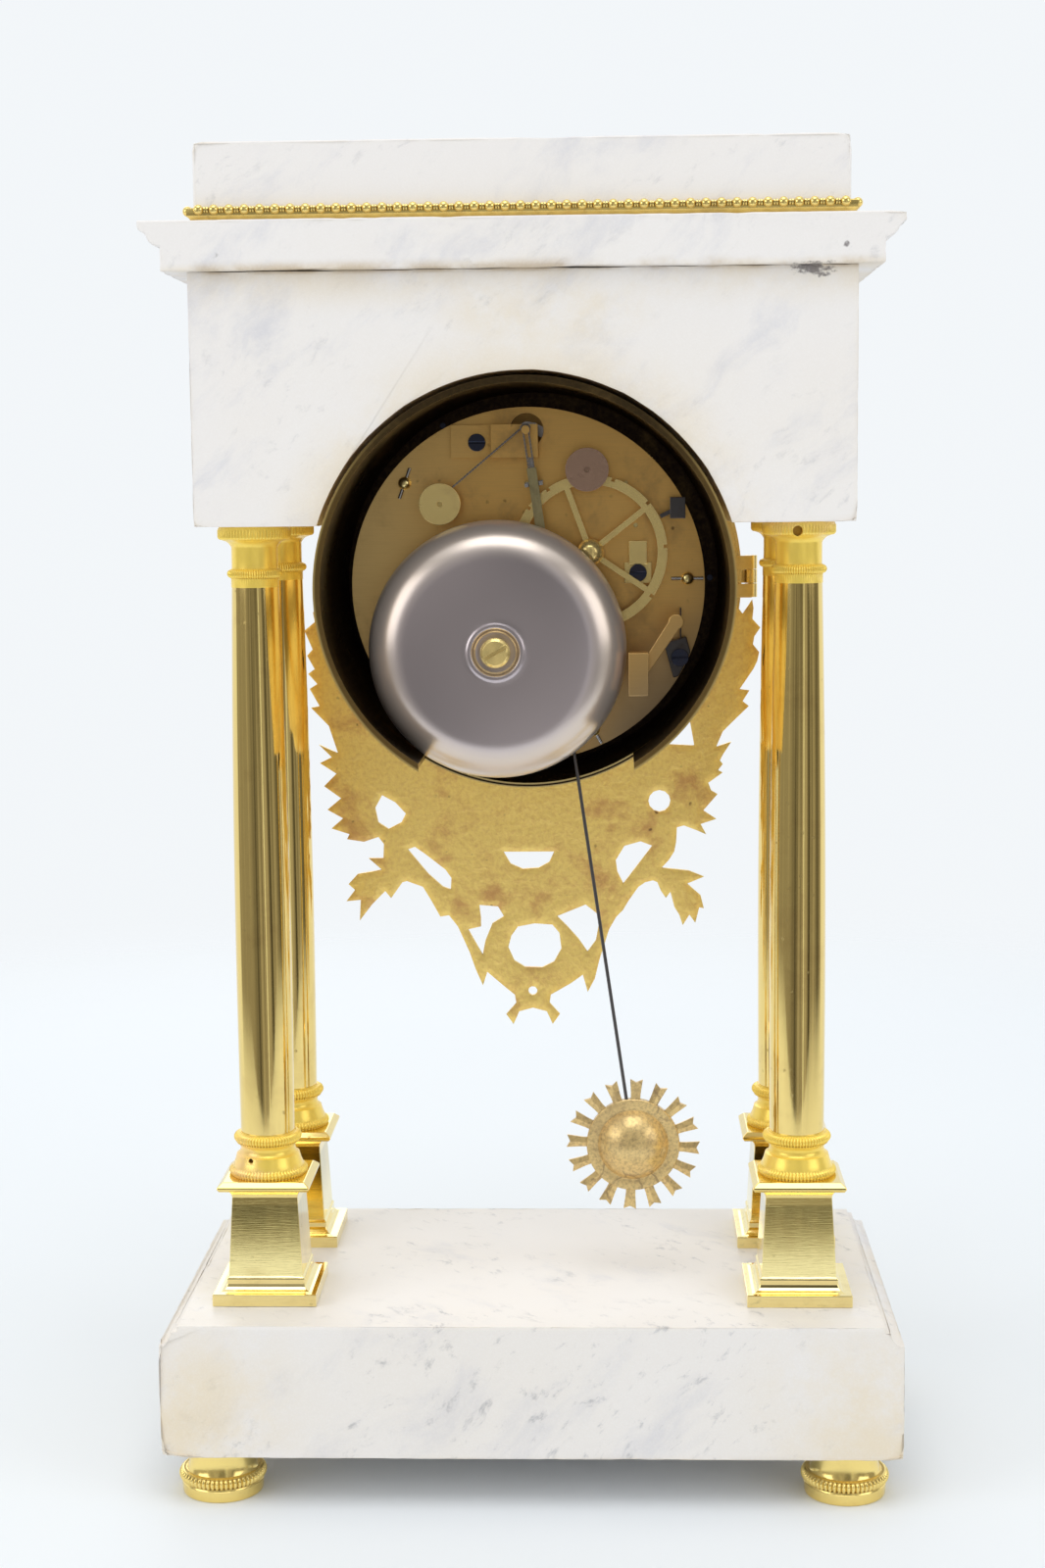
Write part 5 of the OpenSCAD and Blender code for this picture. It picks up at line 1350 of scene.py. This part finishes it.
    def relief(self, x: float, z: float, depth: float) -> tuple[float, float]:
        """How far the apron's front is raised and its back worn at a spot, in millimetres.

        Args:
            x: distance across from the drum's axis.
            z: distance up from it.
            depth: distance from the nearest border.

        Returns:
            The rise of the front and the wear of the back.
        """
        start, full = self.flange
        free = min(1.0, max(0.0, (math.hypot(x, z) - start) / (full - start)))
        drift = noise.noise(Vector((x * self.drift_cells, z * self.drift_cells, 0.0))) * self.vein_drift
        veins = math.cos(self.veins * math.atan2(x, -z) + drift) * self.vein_depth
        full_depth = 1.0 - math.exp(-depth / self.round_off)
        raised = free * full_depth * (self.swell + veins)
        dents = max(0.0, noise.noise(Vector((x * self.dent_cells, z * self.dent_cells, 4.0))))
        return raised, self.wear * math.exp(-depth / self.wear_reach) + dents * self.dent * full_depth


@dataclass
class DialAndBezel(Assembly):
    """Enamel dial with painted numerals, hands, and the glazed bezel.

    A milled ring holds how far it lies in from the bezel's edge, its size, its ribs and how deep it is sunk.
    """

    numeral_in: float = 41.5
    numeral_out: float = 52.5
    serif: float = 0.5
    serif_half: float = 1.25
    heavy: float = 0.85
    light: float = 0.28
    inset: float = 1.3
    inset_v: float = 1.2
    track: Point = (55.2, 58.2)
    ticks: Point = (0.55, 0.16)
    line: float = 0.28
    thick: float = 0.05
    fall: Point = (0.2, 0.6)
    flat_edge: float = 0.8
    milled_rings: tuple[tuple[float, float, int, float], ...] = (
        (6.4, 1.3, 150, 0.35), (10.6, 0.9, 190, 0.25))
    mill_cut: float = 0.32
    mill_foot: Point = (0.3, 0.4)
    names: tuple[str, ...] = ("I", "II", "III", "IIII", "V", "VI", "VII", "VIII", "IX", "X", "XI", "XII")
    widths: dict[str, float] = field(default_factory=lambda: {"I": 2.7, "V": 6.0, "X": 6.0})

    def build(self) -> None:
        """Dresses the solids and paints the dial."""
        low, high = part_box("enamel_dial")
        self.axis = facing_axis("enamel_dial")
        self.front = low.y / MM
        self.radius = (high.x - low.x) / 2 / MM
        for node, finish, bevel in (("dial_plate", Finish.PLATE, 0.0), ("enamel_dial", Finish.ENAMEL, 0.15),
                                    ("bezel", Finish.BURNISHED, 0.2), ("glass", Finish.GLASS, 0.0),
                                    ("minute_hand", Finish.BLUED, 0.12), ("hour_hand", Finish.BLUED, 0.12),
                                    ("cannon_pinion", Finish.BRASS, 0.0), ("hour_wheel", Finish.BRASS, 0.0)):
            self.dress(node, finish, bevel)
        self.paint()
        self.milling()

    def level(self, radius: float) -> float:
        """Y of the dial's face at a radius, in millimetres."""
        half = self.radius * 0.5
        within, beyond = self.fall
        if radius < half:
            return self.front + within * radius / half
        return self.front + within + beyond * (radius - half) / (self.radius - self.flat_edge - half)

    def spot(self, u: float, v: float, turn: float, lift: float) -> Vector:
        """Point of the dial's face from a place across and along a ray.

        Args:
            u: distance clockwise of the ray, in millimetres.
            v: distance out from the centre, in millimetres.
            turn: the ray's angle clockwise from twelve.
            lift: height over the enamel, in millimetres.

        Returns:
            The point in metres.
        """
        x = u * math.cos(turn) + v * math.sin(turn)
        z = -u * math.sin(turn) + v * math.cos(turn)
        y = self.level(math.hypot(u, v)) - lift
        return Vector((self.axis[0] + x * MM, y * MM, self.axis[1] + z * MM))

    def stroke(self, shape: Shape, outline: Sequence[Point], turn: float) -> None:
        """Adds one painted stroke."""
        front = [self.spot(u, v, turn, self.thick) for u, v in outline]
        back = [self.spot(u, v, turn, -self.thick) for u, v in outline]
        shape.prism(front, back)

    def bar(self, shape: Shape, low: Triple, high: Triple, turn: float) -> None:
        """Adds a straight stroke between two ends, each with its place across and out and its half width."""
        (low_u, low_v, low_half), (high_u, high_v, high_half) = low, high
        outline = [(low_u - low_half, low_v), (low_u + low_half, low_v),
                   (high_u + high_half, high_v), (high_u - high_half, high_v)]
        self.stroke(shape, outline, turn)

    def letter(self, shape: Shape, name: str, left: float, turn: float) -> None:
        """Adds one letter of a numeral, with its foot towards the centre.

        Args:
            shape: the painted signs.
            name: I, V or X.
            left: place of its left side across the numeral's ray, in millimetres.
            turn: the ray's angle clockwise from twelve.
        """
        low, high = self.numeral_in, self.numeral_out
        foot, head = low + self.serif, high - self.serif
        right = left + self.widths[name]
        middle = (left + right) / 2
        left_leg, right_leg = left + self.inset, right - self.inset
        if name == "I":
            half = [(1.3, low), (1.2, foot), (0.75, low + 1.0), (0.75, high - 1.0), (1.2, head), (1.3, high)]
            sides = [*((middle + c, v) for c, v in half), *((middle - c, v) for c, v in reversed(half))]
            self.stroke(shape, sides, turn)
            serifs = []
        elif name == "V":
            right_leg = right - self.inset_v
            self.bar(shape, (middle + 0.1, low, 0.4), (left_leg, head, self.heavy), turn)
            self.bar(shape, (middle + 0.3, low, 0.2), (right_leg, head, self.light), turn)
            serifs = [(left_leg, high), (right_leg, high)]
        else:
            self.bar(shape, (right_leg, foot, self.heavy), (left_leg, head, self.heavy), turn)
            self.bar(shape, (left_leg, foot, self.light), (right_leg, head, self.light), turn)
            serifs = [(left_leg, high), (right_leg, high), (left_leg, foot), (right_leg, foot)]
        for across, top in serifs:
            self.bar(shape, (across, top - self.serif, self.serif_half), (across, top, self.serif_half), turn)

    def paint(self) -> None:
        """Paints the numerals and the minute track in black enamel."""
        shape = Shape()
        for hour, name in enumerate(self.names, 1):
            turn = math.radians(30 * hour)
            left = -sum(self.widths[c] for c in name) / 2
            for c in name:
                self.letter(shape, c, left, turn)
                left += self.widths[c]
        half = self.line / 2
        section = [(-half, 1), (half, 1), (half, -1), (-half, -1)]
        for radius in self.track:
            rows = [[self.spot(0, radius + d, math.radians(2 * i), s * self.thick) for d, s in section]
                    for i in range(181)]
            shape.grid(rows, around=True)
        low, high = self.track[0] + half, self.track[1] - half
        for minute in range(60):
            tick = self.ticks[minute % 5 != 0]
            self.bar(shape, (0.0, low, tick), (0.0, high, tick), math.radians(6 * minute))
        self.stand_for(shape.piece("dial_numerals", self.palette[Finish.BLACK]), "case", "enamel")

    def milling(self) -> None:
        """Adds the two milled rings of the bezel."""
        low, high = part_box("bezel")
        edge = (high.x - self.axis[0]) / MM
        foot, back = self.mill_foot
        shape = Shape()
        for inset, size, flutes, sunk in self.milled_rings:
            radius, y = edge - inset, low.y / MM + sunk
            profile = rings(arc((radius, y), size, 180, 360), self.mill_cut)
            profile += rings([(radius + size - foot, y + back), (radius - size + foot, y + back)])
            shape.turned([*profile, profile[0]], facing(*self.axis), flutes, ends=False)
        piece = shape.piece("bezel_milled_rings", self.palette[Finish.SATIN], 45.0)
        self.stand_for(piece, "bezel_door", "ormolu")


@dataclass
class Bell(Assembly):
    """The bell: a shallow turned dome with a raised ring round its nut."""

    wall: float = 1.6
    seat: float = 1.2
    hole: float = 1.65
    shoulder: float = 14.5
    shoulder_drop: float = 14.42
    sag: float = 1.07
    lip: Point = (0.2, 1.2)
    dome_inset: float = 13.0
    ring: float = 10.3
    ring_bed: float = 8.3
    hollow: float = 11.4
    hollow_foot: float = 3.4
    hollow_flare: float = 0.3
    dome_steps: int = 12

    def build(self) -> None:
        """Makes the bell within the outline of its solid."""
        low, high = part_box("bell")
        out, up = self.lip
        radius = (high.x - low.x) / 2 / MM - out
        rim, crown = low.y / MM, high.y / MM
        bed, inner = crown - self.seat - self.wall, radius - self.wall
        edge = radius - self.dome_inset
        span = edge - self.ring
        inside = [(self.hole, bed), (self.ring_bed, bed), (self.ring, crown - self.wall),
                  *arc((edge, rim + self.hollow_foot), self.hollow, 90, 12, 12),
                  (inner, rim + up), (inner + self.hollow_flare, rim)]
        steps = [edge - span * i / self.dome_steps for i in range(1, self.dome_steps + 1)]
        dome = [(r, crown - self.sag * ((r - self.ring) / span) ** 2) for r in steps]
        centre = (radius - self.shoulder, crown - self.sag - self.shoulder_drop)
        bead = [(9.9, 0.1), (9.5, 0.36), (9.1, 0.5), (8.6, 0.5), (8.2, 0.36), (7.8, 0.05), (7.5, -0.5),
                (7.1, -0.95), (6.5, -1.15), (self.hole, -self.seat)]
        outside = [(radius, rim), (radius + out, rim + up), *arc(centre, self.shoulder, 8, 84, 24), *dome,
                   *((r, crown + h) for r, h in bead)]
        shape = Shape()
        profile = rings([*inside, *outside, inside[0]])
        shape.turned(profile, facing(*facing_axis("bell")), sides=144, ends=False)
        piece = shape.piece("turned_bell", self.palette[Finish.BELL], 50.0)
        self.stand_for(piece, "case", "bell_metal", "bell")


@dataclass
class Movement(Assembly):
    """Plates, trains and strike work, finished by their slots but for a few bright pieces and the hammer."""

    nodes: tuple[str, ...] = (
        "front_plate", "back_plate", "pillars", "pillar_pins", "clicks", "bell_stand", "bell_nut",
        "suspension_cock", "regulator_spool", "pallets", "escape_wheel", "third_wheel", "centre_wheel",
        "intermediate_wheel", "going_barrel", "going_spring", "going_arbor", "strike_barrel", "strike_spring",
        "strike_arbor", "minute_wheel", "count_arbor", "count_wheel", "pin_wheel", "locking_wheel", "fly",
        "hammer", "hammer_spring", "count_detent", "detent_cock")
    by_slot: dict[str, Finish] = field(default_factory=lambda: {
        "brass": Finish.BRASS, "plate_brass": Finish.PLATE, "steel": Finish.STEEL,
        "dark_steel": Finish.DARK_STEEL, "copper": Finish.COPPER})
    by_node: dict[str, Finish] = field(default_factory=lambda: {
        "count_wheel": Finish.BRIGHT, "regulator_spool": Finish.BRIGHT, "bell_nut": Finish.BRIGHT,
        "detent_cock": Finish.BRIGHT, "hammer": Finish.PLATE})
    eased: dict[str, float] = field(default_factory=lambda: {
        "back_plate": 0.2, "suspension_cock": 0.25, "detent_cock": 0.15, "hammer": 0.3, "hammer_spring": 0.25,
        "count_detent": 0.15, "regulator_spool": 0.12, "bell_nut": 0.2, "count_wheel": 0.1, "fly": 0.12,
        "bell_stand": 0.2})

    def build(self) -> None:
        """Dresses every solid of the movement."""
        for node in self.nodes:
            finish = self.by_node.get(node, self.by_slot[SLOTS[node]])
            self.dress(node, finish, self.eased.get(node, 0.0))


@dataclass
class Pendulum(Assembly):
    """Silk suspension, rod and sunburst bob."""

    thread: float = 0.35
    plies: int = 2
    ply: float = 0.56
    ply_sides: int = 7
    pitch: float = 2.4
    regulator_path: tuple[Triple, ...] = ((26.0, 20.1, 342.2), (1.75, 20.1, 362.4))
    stud: Triple = (0.0, 22.0, 362.0)
    lean: float = 8.1
    loop: float = 1.84
    spread: float = 0.9
    wrap: float = 0.55
    below: float = 1.2
    drop: float = 13.0
    length: float = 251.0
    rays: int = 16
    reach: float = 23.25
    disc: float = 16.27

    def build(self) -> None:
        """Makes the silk and the bob, and dresses the rod."""
        self.regulator_thread()
        self.suspension()
        self.dress("pendulum_rod", Finish.ROD, 0.1)
        self.bob()

    def twisted(self, path: list[Vector]) -> Shape:
        """Silk laid from plies that wind round a path."""
        shape = Shape()
        ply = self.thread * MM * self.ply
        offset = self.thread * MM - ply
        lengths = [0.0]
        for a, b in zip(path, path[1:]):
            lengths.append(lengths[-1] + (b - a).length)
        for k in range(self.plies):
            line = []
            for i, point in enumerate(path):
                ahead = (path[min(i + 1, len(path) - 1)] - path[max(i - 1, 0)]).normalized()
                side = Vector((0.0, 1.0, 0.0))
                other = ahead.cross(side)
                turn = 2 * math.pi * (lengths[i] / (self.pitch * MM) + k / self.plies)
                line.append(point + offset * (side * math.cos(turn) + other * math.sin(turn)))
            shape.tube(line, ply, self.ply_sides)
        return shape

    def regulator_thread(self) -> None:
        """Silk from the regulator's spool to the stud."""
        a, b = (Vector(p) * MM for p in self.regulator_path)
        path = [a.lerp(b, i / 90) for i in range(91)]
        piece = self.twisted(path).piece("regulator_silk", self.palette[Finish.SILK], 60.0)
        self.stand_for(piece, "case", "silk", "regulator_thread")
        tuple(a)

    def suspension(self) -> None:
        """Silk loop over the stud that carries the pendulum's hook."""
        edge = 180 - math.degrees(math.acos(self.spread / self.loop)) * self.wrap
        over = arc((0.0, 0.0), self.loop, edge, 180 - edge, 22)
        left = [(-self.spread, -self.drop + i * (self.drop - self.below) / 24) for i in range(24)]
        right = [(-u, v) for u, v in reversed(left)]
        path = [self.hung(u, 0.0, v) for u, v in [*left, *over, *right]]
        piece = self.twisted(path).piece("suspension_silk", self.palette[Finish.SILK], 60.0)
        self.stand_for(piece, "pendulum", "silk", "suspension_thread")

    def hung(self, u: float, v: float, w: float) -> Vector:
        """Point that leans with the pendulum, from millimetres across, back and up from the stud."""
        turn = Matrix.Rotation(math.radians(self.lean), 3, "Y")
        return (turn @ Vector((u, v, w)) + Vector(self.stud)) * MM

    def bob(self) -> None:
        """Sunburst bob: ridged rays with notched ends, a disc and a domed boss."""
        shape = Shape()
        for i in range(self.rays):
            self.ray(shape, 2 * math.pi * (i + 0.5) / self.rays)
        edge = self.disc
        profile = [
            *rings([(0.02, -2.4), (edge - 1.0, -2.4), (edge - 0.3, -2.15), (edge, -1.4)]),
            *rings([(edge, 0.95), (edge - 0.25, 1.2), (13.2, 1.2), (12.55, 1.1), (12.3, 1.13)]),
            *rings(arc((0.0, -5.94), 14.18, 30.5, 89.8, 13)),
        ]
        shape.turned(profile, lambda a, b, h: self.hung(a, h, b - self.length), sides=96)
        piece = shape.piece("sunburst_bob", self.palette[Finish.TARNISHED], 25.0)
        self.stand_for(piece, "pendulum", "ormolu", "pendulum_bob")

    def ray(self, shape: Shape, turn: float) -> None:
        """Adds one flared ray with a ridge along its middle."""
        r = self.reach
        half = [(0.6 * r, 1.6), (0.78 * r, 1.7), (r, 2.2)]
        outline = [*half, (0.95 * r, 0.0), *((t, -c) for t, c in reversed(half))]
        points = []
        for side in (1, -1):
            for t, c in [*outline, (0.6 * r, 0.0)]:
                u = t * math.cos(turn) - c * math.sin(turn)
                w = t * math.sin(turn) + c * math.cos(turn)
                rise = 1.0 if c == 0.0 else 0.45
                points.append(self.hung(u, side * rise, w - self.length))
        n = len(outline)
        faces = [(0, 1, 2, 3, n), (n, 3, 4, 5, 6), (2 * n + 1, n + 4, n + 3, n + 2, n + 1),
                 (n + 7, n + 6, n + 5, n + 4, 2 * n + 1)]
        faces += [(i, (i + 1) % n, n + 1 + (i + 1) % n, n + 1 + i) for i in range(n - 1)]
        faces += [(6, n, 2 * n + 1, n + 7), (n, 0, n + 1, 2 * n + 1)]
        shape.add(points, faces)


@dataclass
class Studio:
    """Floor, surroundings, lamps and camera.

    A lamp holds its name, its place and size in metres, and its power. Turns are in degrees from behind.
    """

    floor_radius: float = 1.0
    floor_middle: Point = (0.0, -0.15)
    floor_edge: float = 0.49
    floor_colour: Colour = (0.825, 0.85, 0.87)
    backdrop: Colour = (0.895, 0.925, 0.95)
    ambient: float = 0.82
    dim: Colour = (0.40, 0.385, 0.36)
    dark: Colour = (0.06, 0.055, 0.045)
    lens: float = 55.99
    sensor: float = 36.0
    eye: Triple = (-0.02832, 0.85673, 0.34366)
    right: Triple = (-0.99932638, -0.03535016, -0.00985639)
    up: Triple = (-0.00546386, -0.12226574, 0.99248236)
    ahead: Triple = (0.03628951, -0.99186766, -0.12199023)
    room_turn: float = 3.0
    room_half: Point = (108.0, 97.0)
    room_top: Point = (0.85, 0.6)
    slit_turn: float = 20.0
    slit_half: Point = (3.2, 2.0)
    lit_side: Point = (-8.0, -40.0)
    aim: Triple = (0.0, 0.0, 0.23)
    lamps: tuple[tuple[str, Triple, float, float], ...] = (
        ("top_lamp", (0.0, 1.1, 3.4), 2.2, 29.0),
        ("left_lamp", (1.25, 0.75, 0.75), 0.9, 4.7),
        ("right_lamp", (-1.25, 0.75, 0.75), 0.9, 4.2),
        ("front_lamp", (0.3, -1.3, 0.9), 1.0, 3.2))

    def build(self) -> None:
        """Sets up the whole studio."""
        scene = bpy.context.scene
        scene.view_settings.view_transform = "Standard"
        self.camera(scene)
        self.floor()
        self.surroundings(scene)
        for name, place, size, power in self.lamps:
            self.lamp(name, Vector(place), size, power)

    def camera(self, scene: bpy.types.Scene) -> None:
        """Puts the camera where the photograph was taken from."""
        data = bpy.data.cameras.new("camera")
        data.lens = self.lens
        data.sensor_width = self.sensor
        data.sensor_fit = "AUTO"
        data.clip_start = 0.01
        camera = bpy.data.objects.new("camera", data)
        columns = (Vector(self.right), Vector(self.up), -Vector(self.ahead))
        camera.matrix_world = Matrix.Translation(self.eye) @ Matrix(columns).transposed().to_4x4()
        scene.collection.objects.link(camera)
        scene.camera = camera

    def floor(self) -> None:
        """Pale floor that fades into the backdrop and keeps the shadow."""
        material, g = new_material("pale_floor")
        x, y, z = g.axes(g.place())
        reach = self.floor_radius
        solid = g.radius(x, y, self.floor_middle).between(reach, reach * 0.55)
        paint = g.node("ShaderNodeBsdfDiffuse", {}, {"Color": self.floor_colour})
        clear = g.node("ShaderNodeBsdfTransparent")
        faded = g.node("ShaderNodeMixShader", {}, {0: solid, 1: clear, 2: paint})
        g.node_end("ShaderNodeOutputMaterial", faded)
        left, right = self.floor_middle[0] - reach, self.floor_middle[0] + reach
        near, back = self.floor_edge, self.floor_middle[1] - reach
        corners = ((left, back), (right, back), (right, near), (left, near))
        shape = Shape()
        shape.add([Vector((*corner, 0.0)) for corner in corners], [(0, 1, 2, 3)])
        shape.piece("floor", material)

    def surroundings(self, scene: bpy.types.Scene) -> None:
        """White surroundings, with a dim room behind the camera that polished metal shows."""
        world = bpy.data.worlds.new("studio")
        world.use_nodes = True
        scene.world = world
        g = Graph(world.node_tree)
        x, y, z = g.axes(g.node("ShaderNodeTexCoord", out="Generated"))
        turn = (x * -1.0).turn_from(y) * math.degrees(1.0)
        room = abs(turn - self.room_turn).between(*self.room_half) * z.between(*self.room_top)
        slit = abs(turn - self.slit_turn).between(*self.slit_half)
        bands = g.noise(g.vector(turn * 0.055, z * 0.8), 1.0, 4.0, 0.6).between(0.36, 0.64)
        bands = bands.most(turn.between(*self.lit_side) * 0.7)
        seen = g.mix(room * (1.0 - slit * 0.75), self.backdrop, g.mix(bands, self.dark, self.dim))
        rays = {name: g.node("ShaderNodeLightPath", out=name) for name in
                ("Is Camera Ray", "Is Glossy Ray", "Is Transmission Ray")}
        glossy = rays["Is Glossy Ray"].most(rays["Is Transmission Ray"])
        colour = g.mix(rays["Is Camera Ray"], g.mix(glossy, self.backdrop, seen), self.backdrop)
        shown = glossy.most(rays["Is Camera Ray"])
        strength = shown * (1.0 - self.ambient) + self.ambient
        shader = g.node("ShaderNodeBackground", {}, {"Color": colour, "Strength": strength})
        g.node_end("ShaderNodeOutputWorld", shader)

    def lamp(self, name: str, place: Vector, size: float, power: float) -> None:
        """Adds one soft square lamp that looks at the clock's middle."""
        data = bpy.data.lights.new(name, "AREA")
        data.shape = "SQUARE"
        data.size = size
        data.energy = power
        lamp = bpy.data.objects.new(name, data)
        lamp.location = place
        lamp.rotation_euler = (Vector(self.aim) - place).to_track_quat("-Z", "Y").to_euler()
        bpy.context.scene.collection.objects.link(lamp)


def main() -> None:
    """Builds the clock's looks and the studio."""
    logging.basicConfig(level=logging.INFO, format="%(name)s: %(message)s")
    palette = Palette()
    Studio().build()
    for group in (Pendulum, MarbleCase, GiltColumns, BeadRow, DrumAndApron, DialAndBezel, Bell, Movement):
        group(palette).build()


if __name__ == "__main__":
    main()
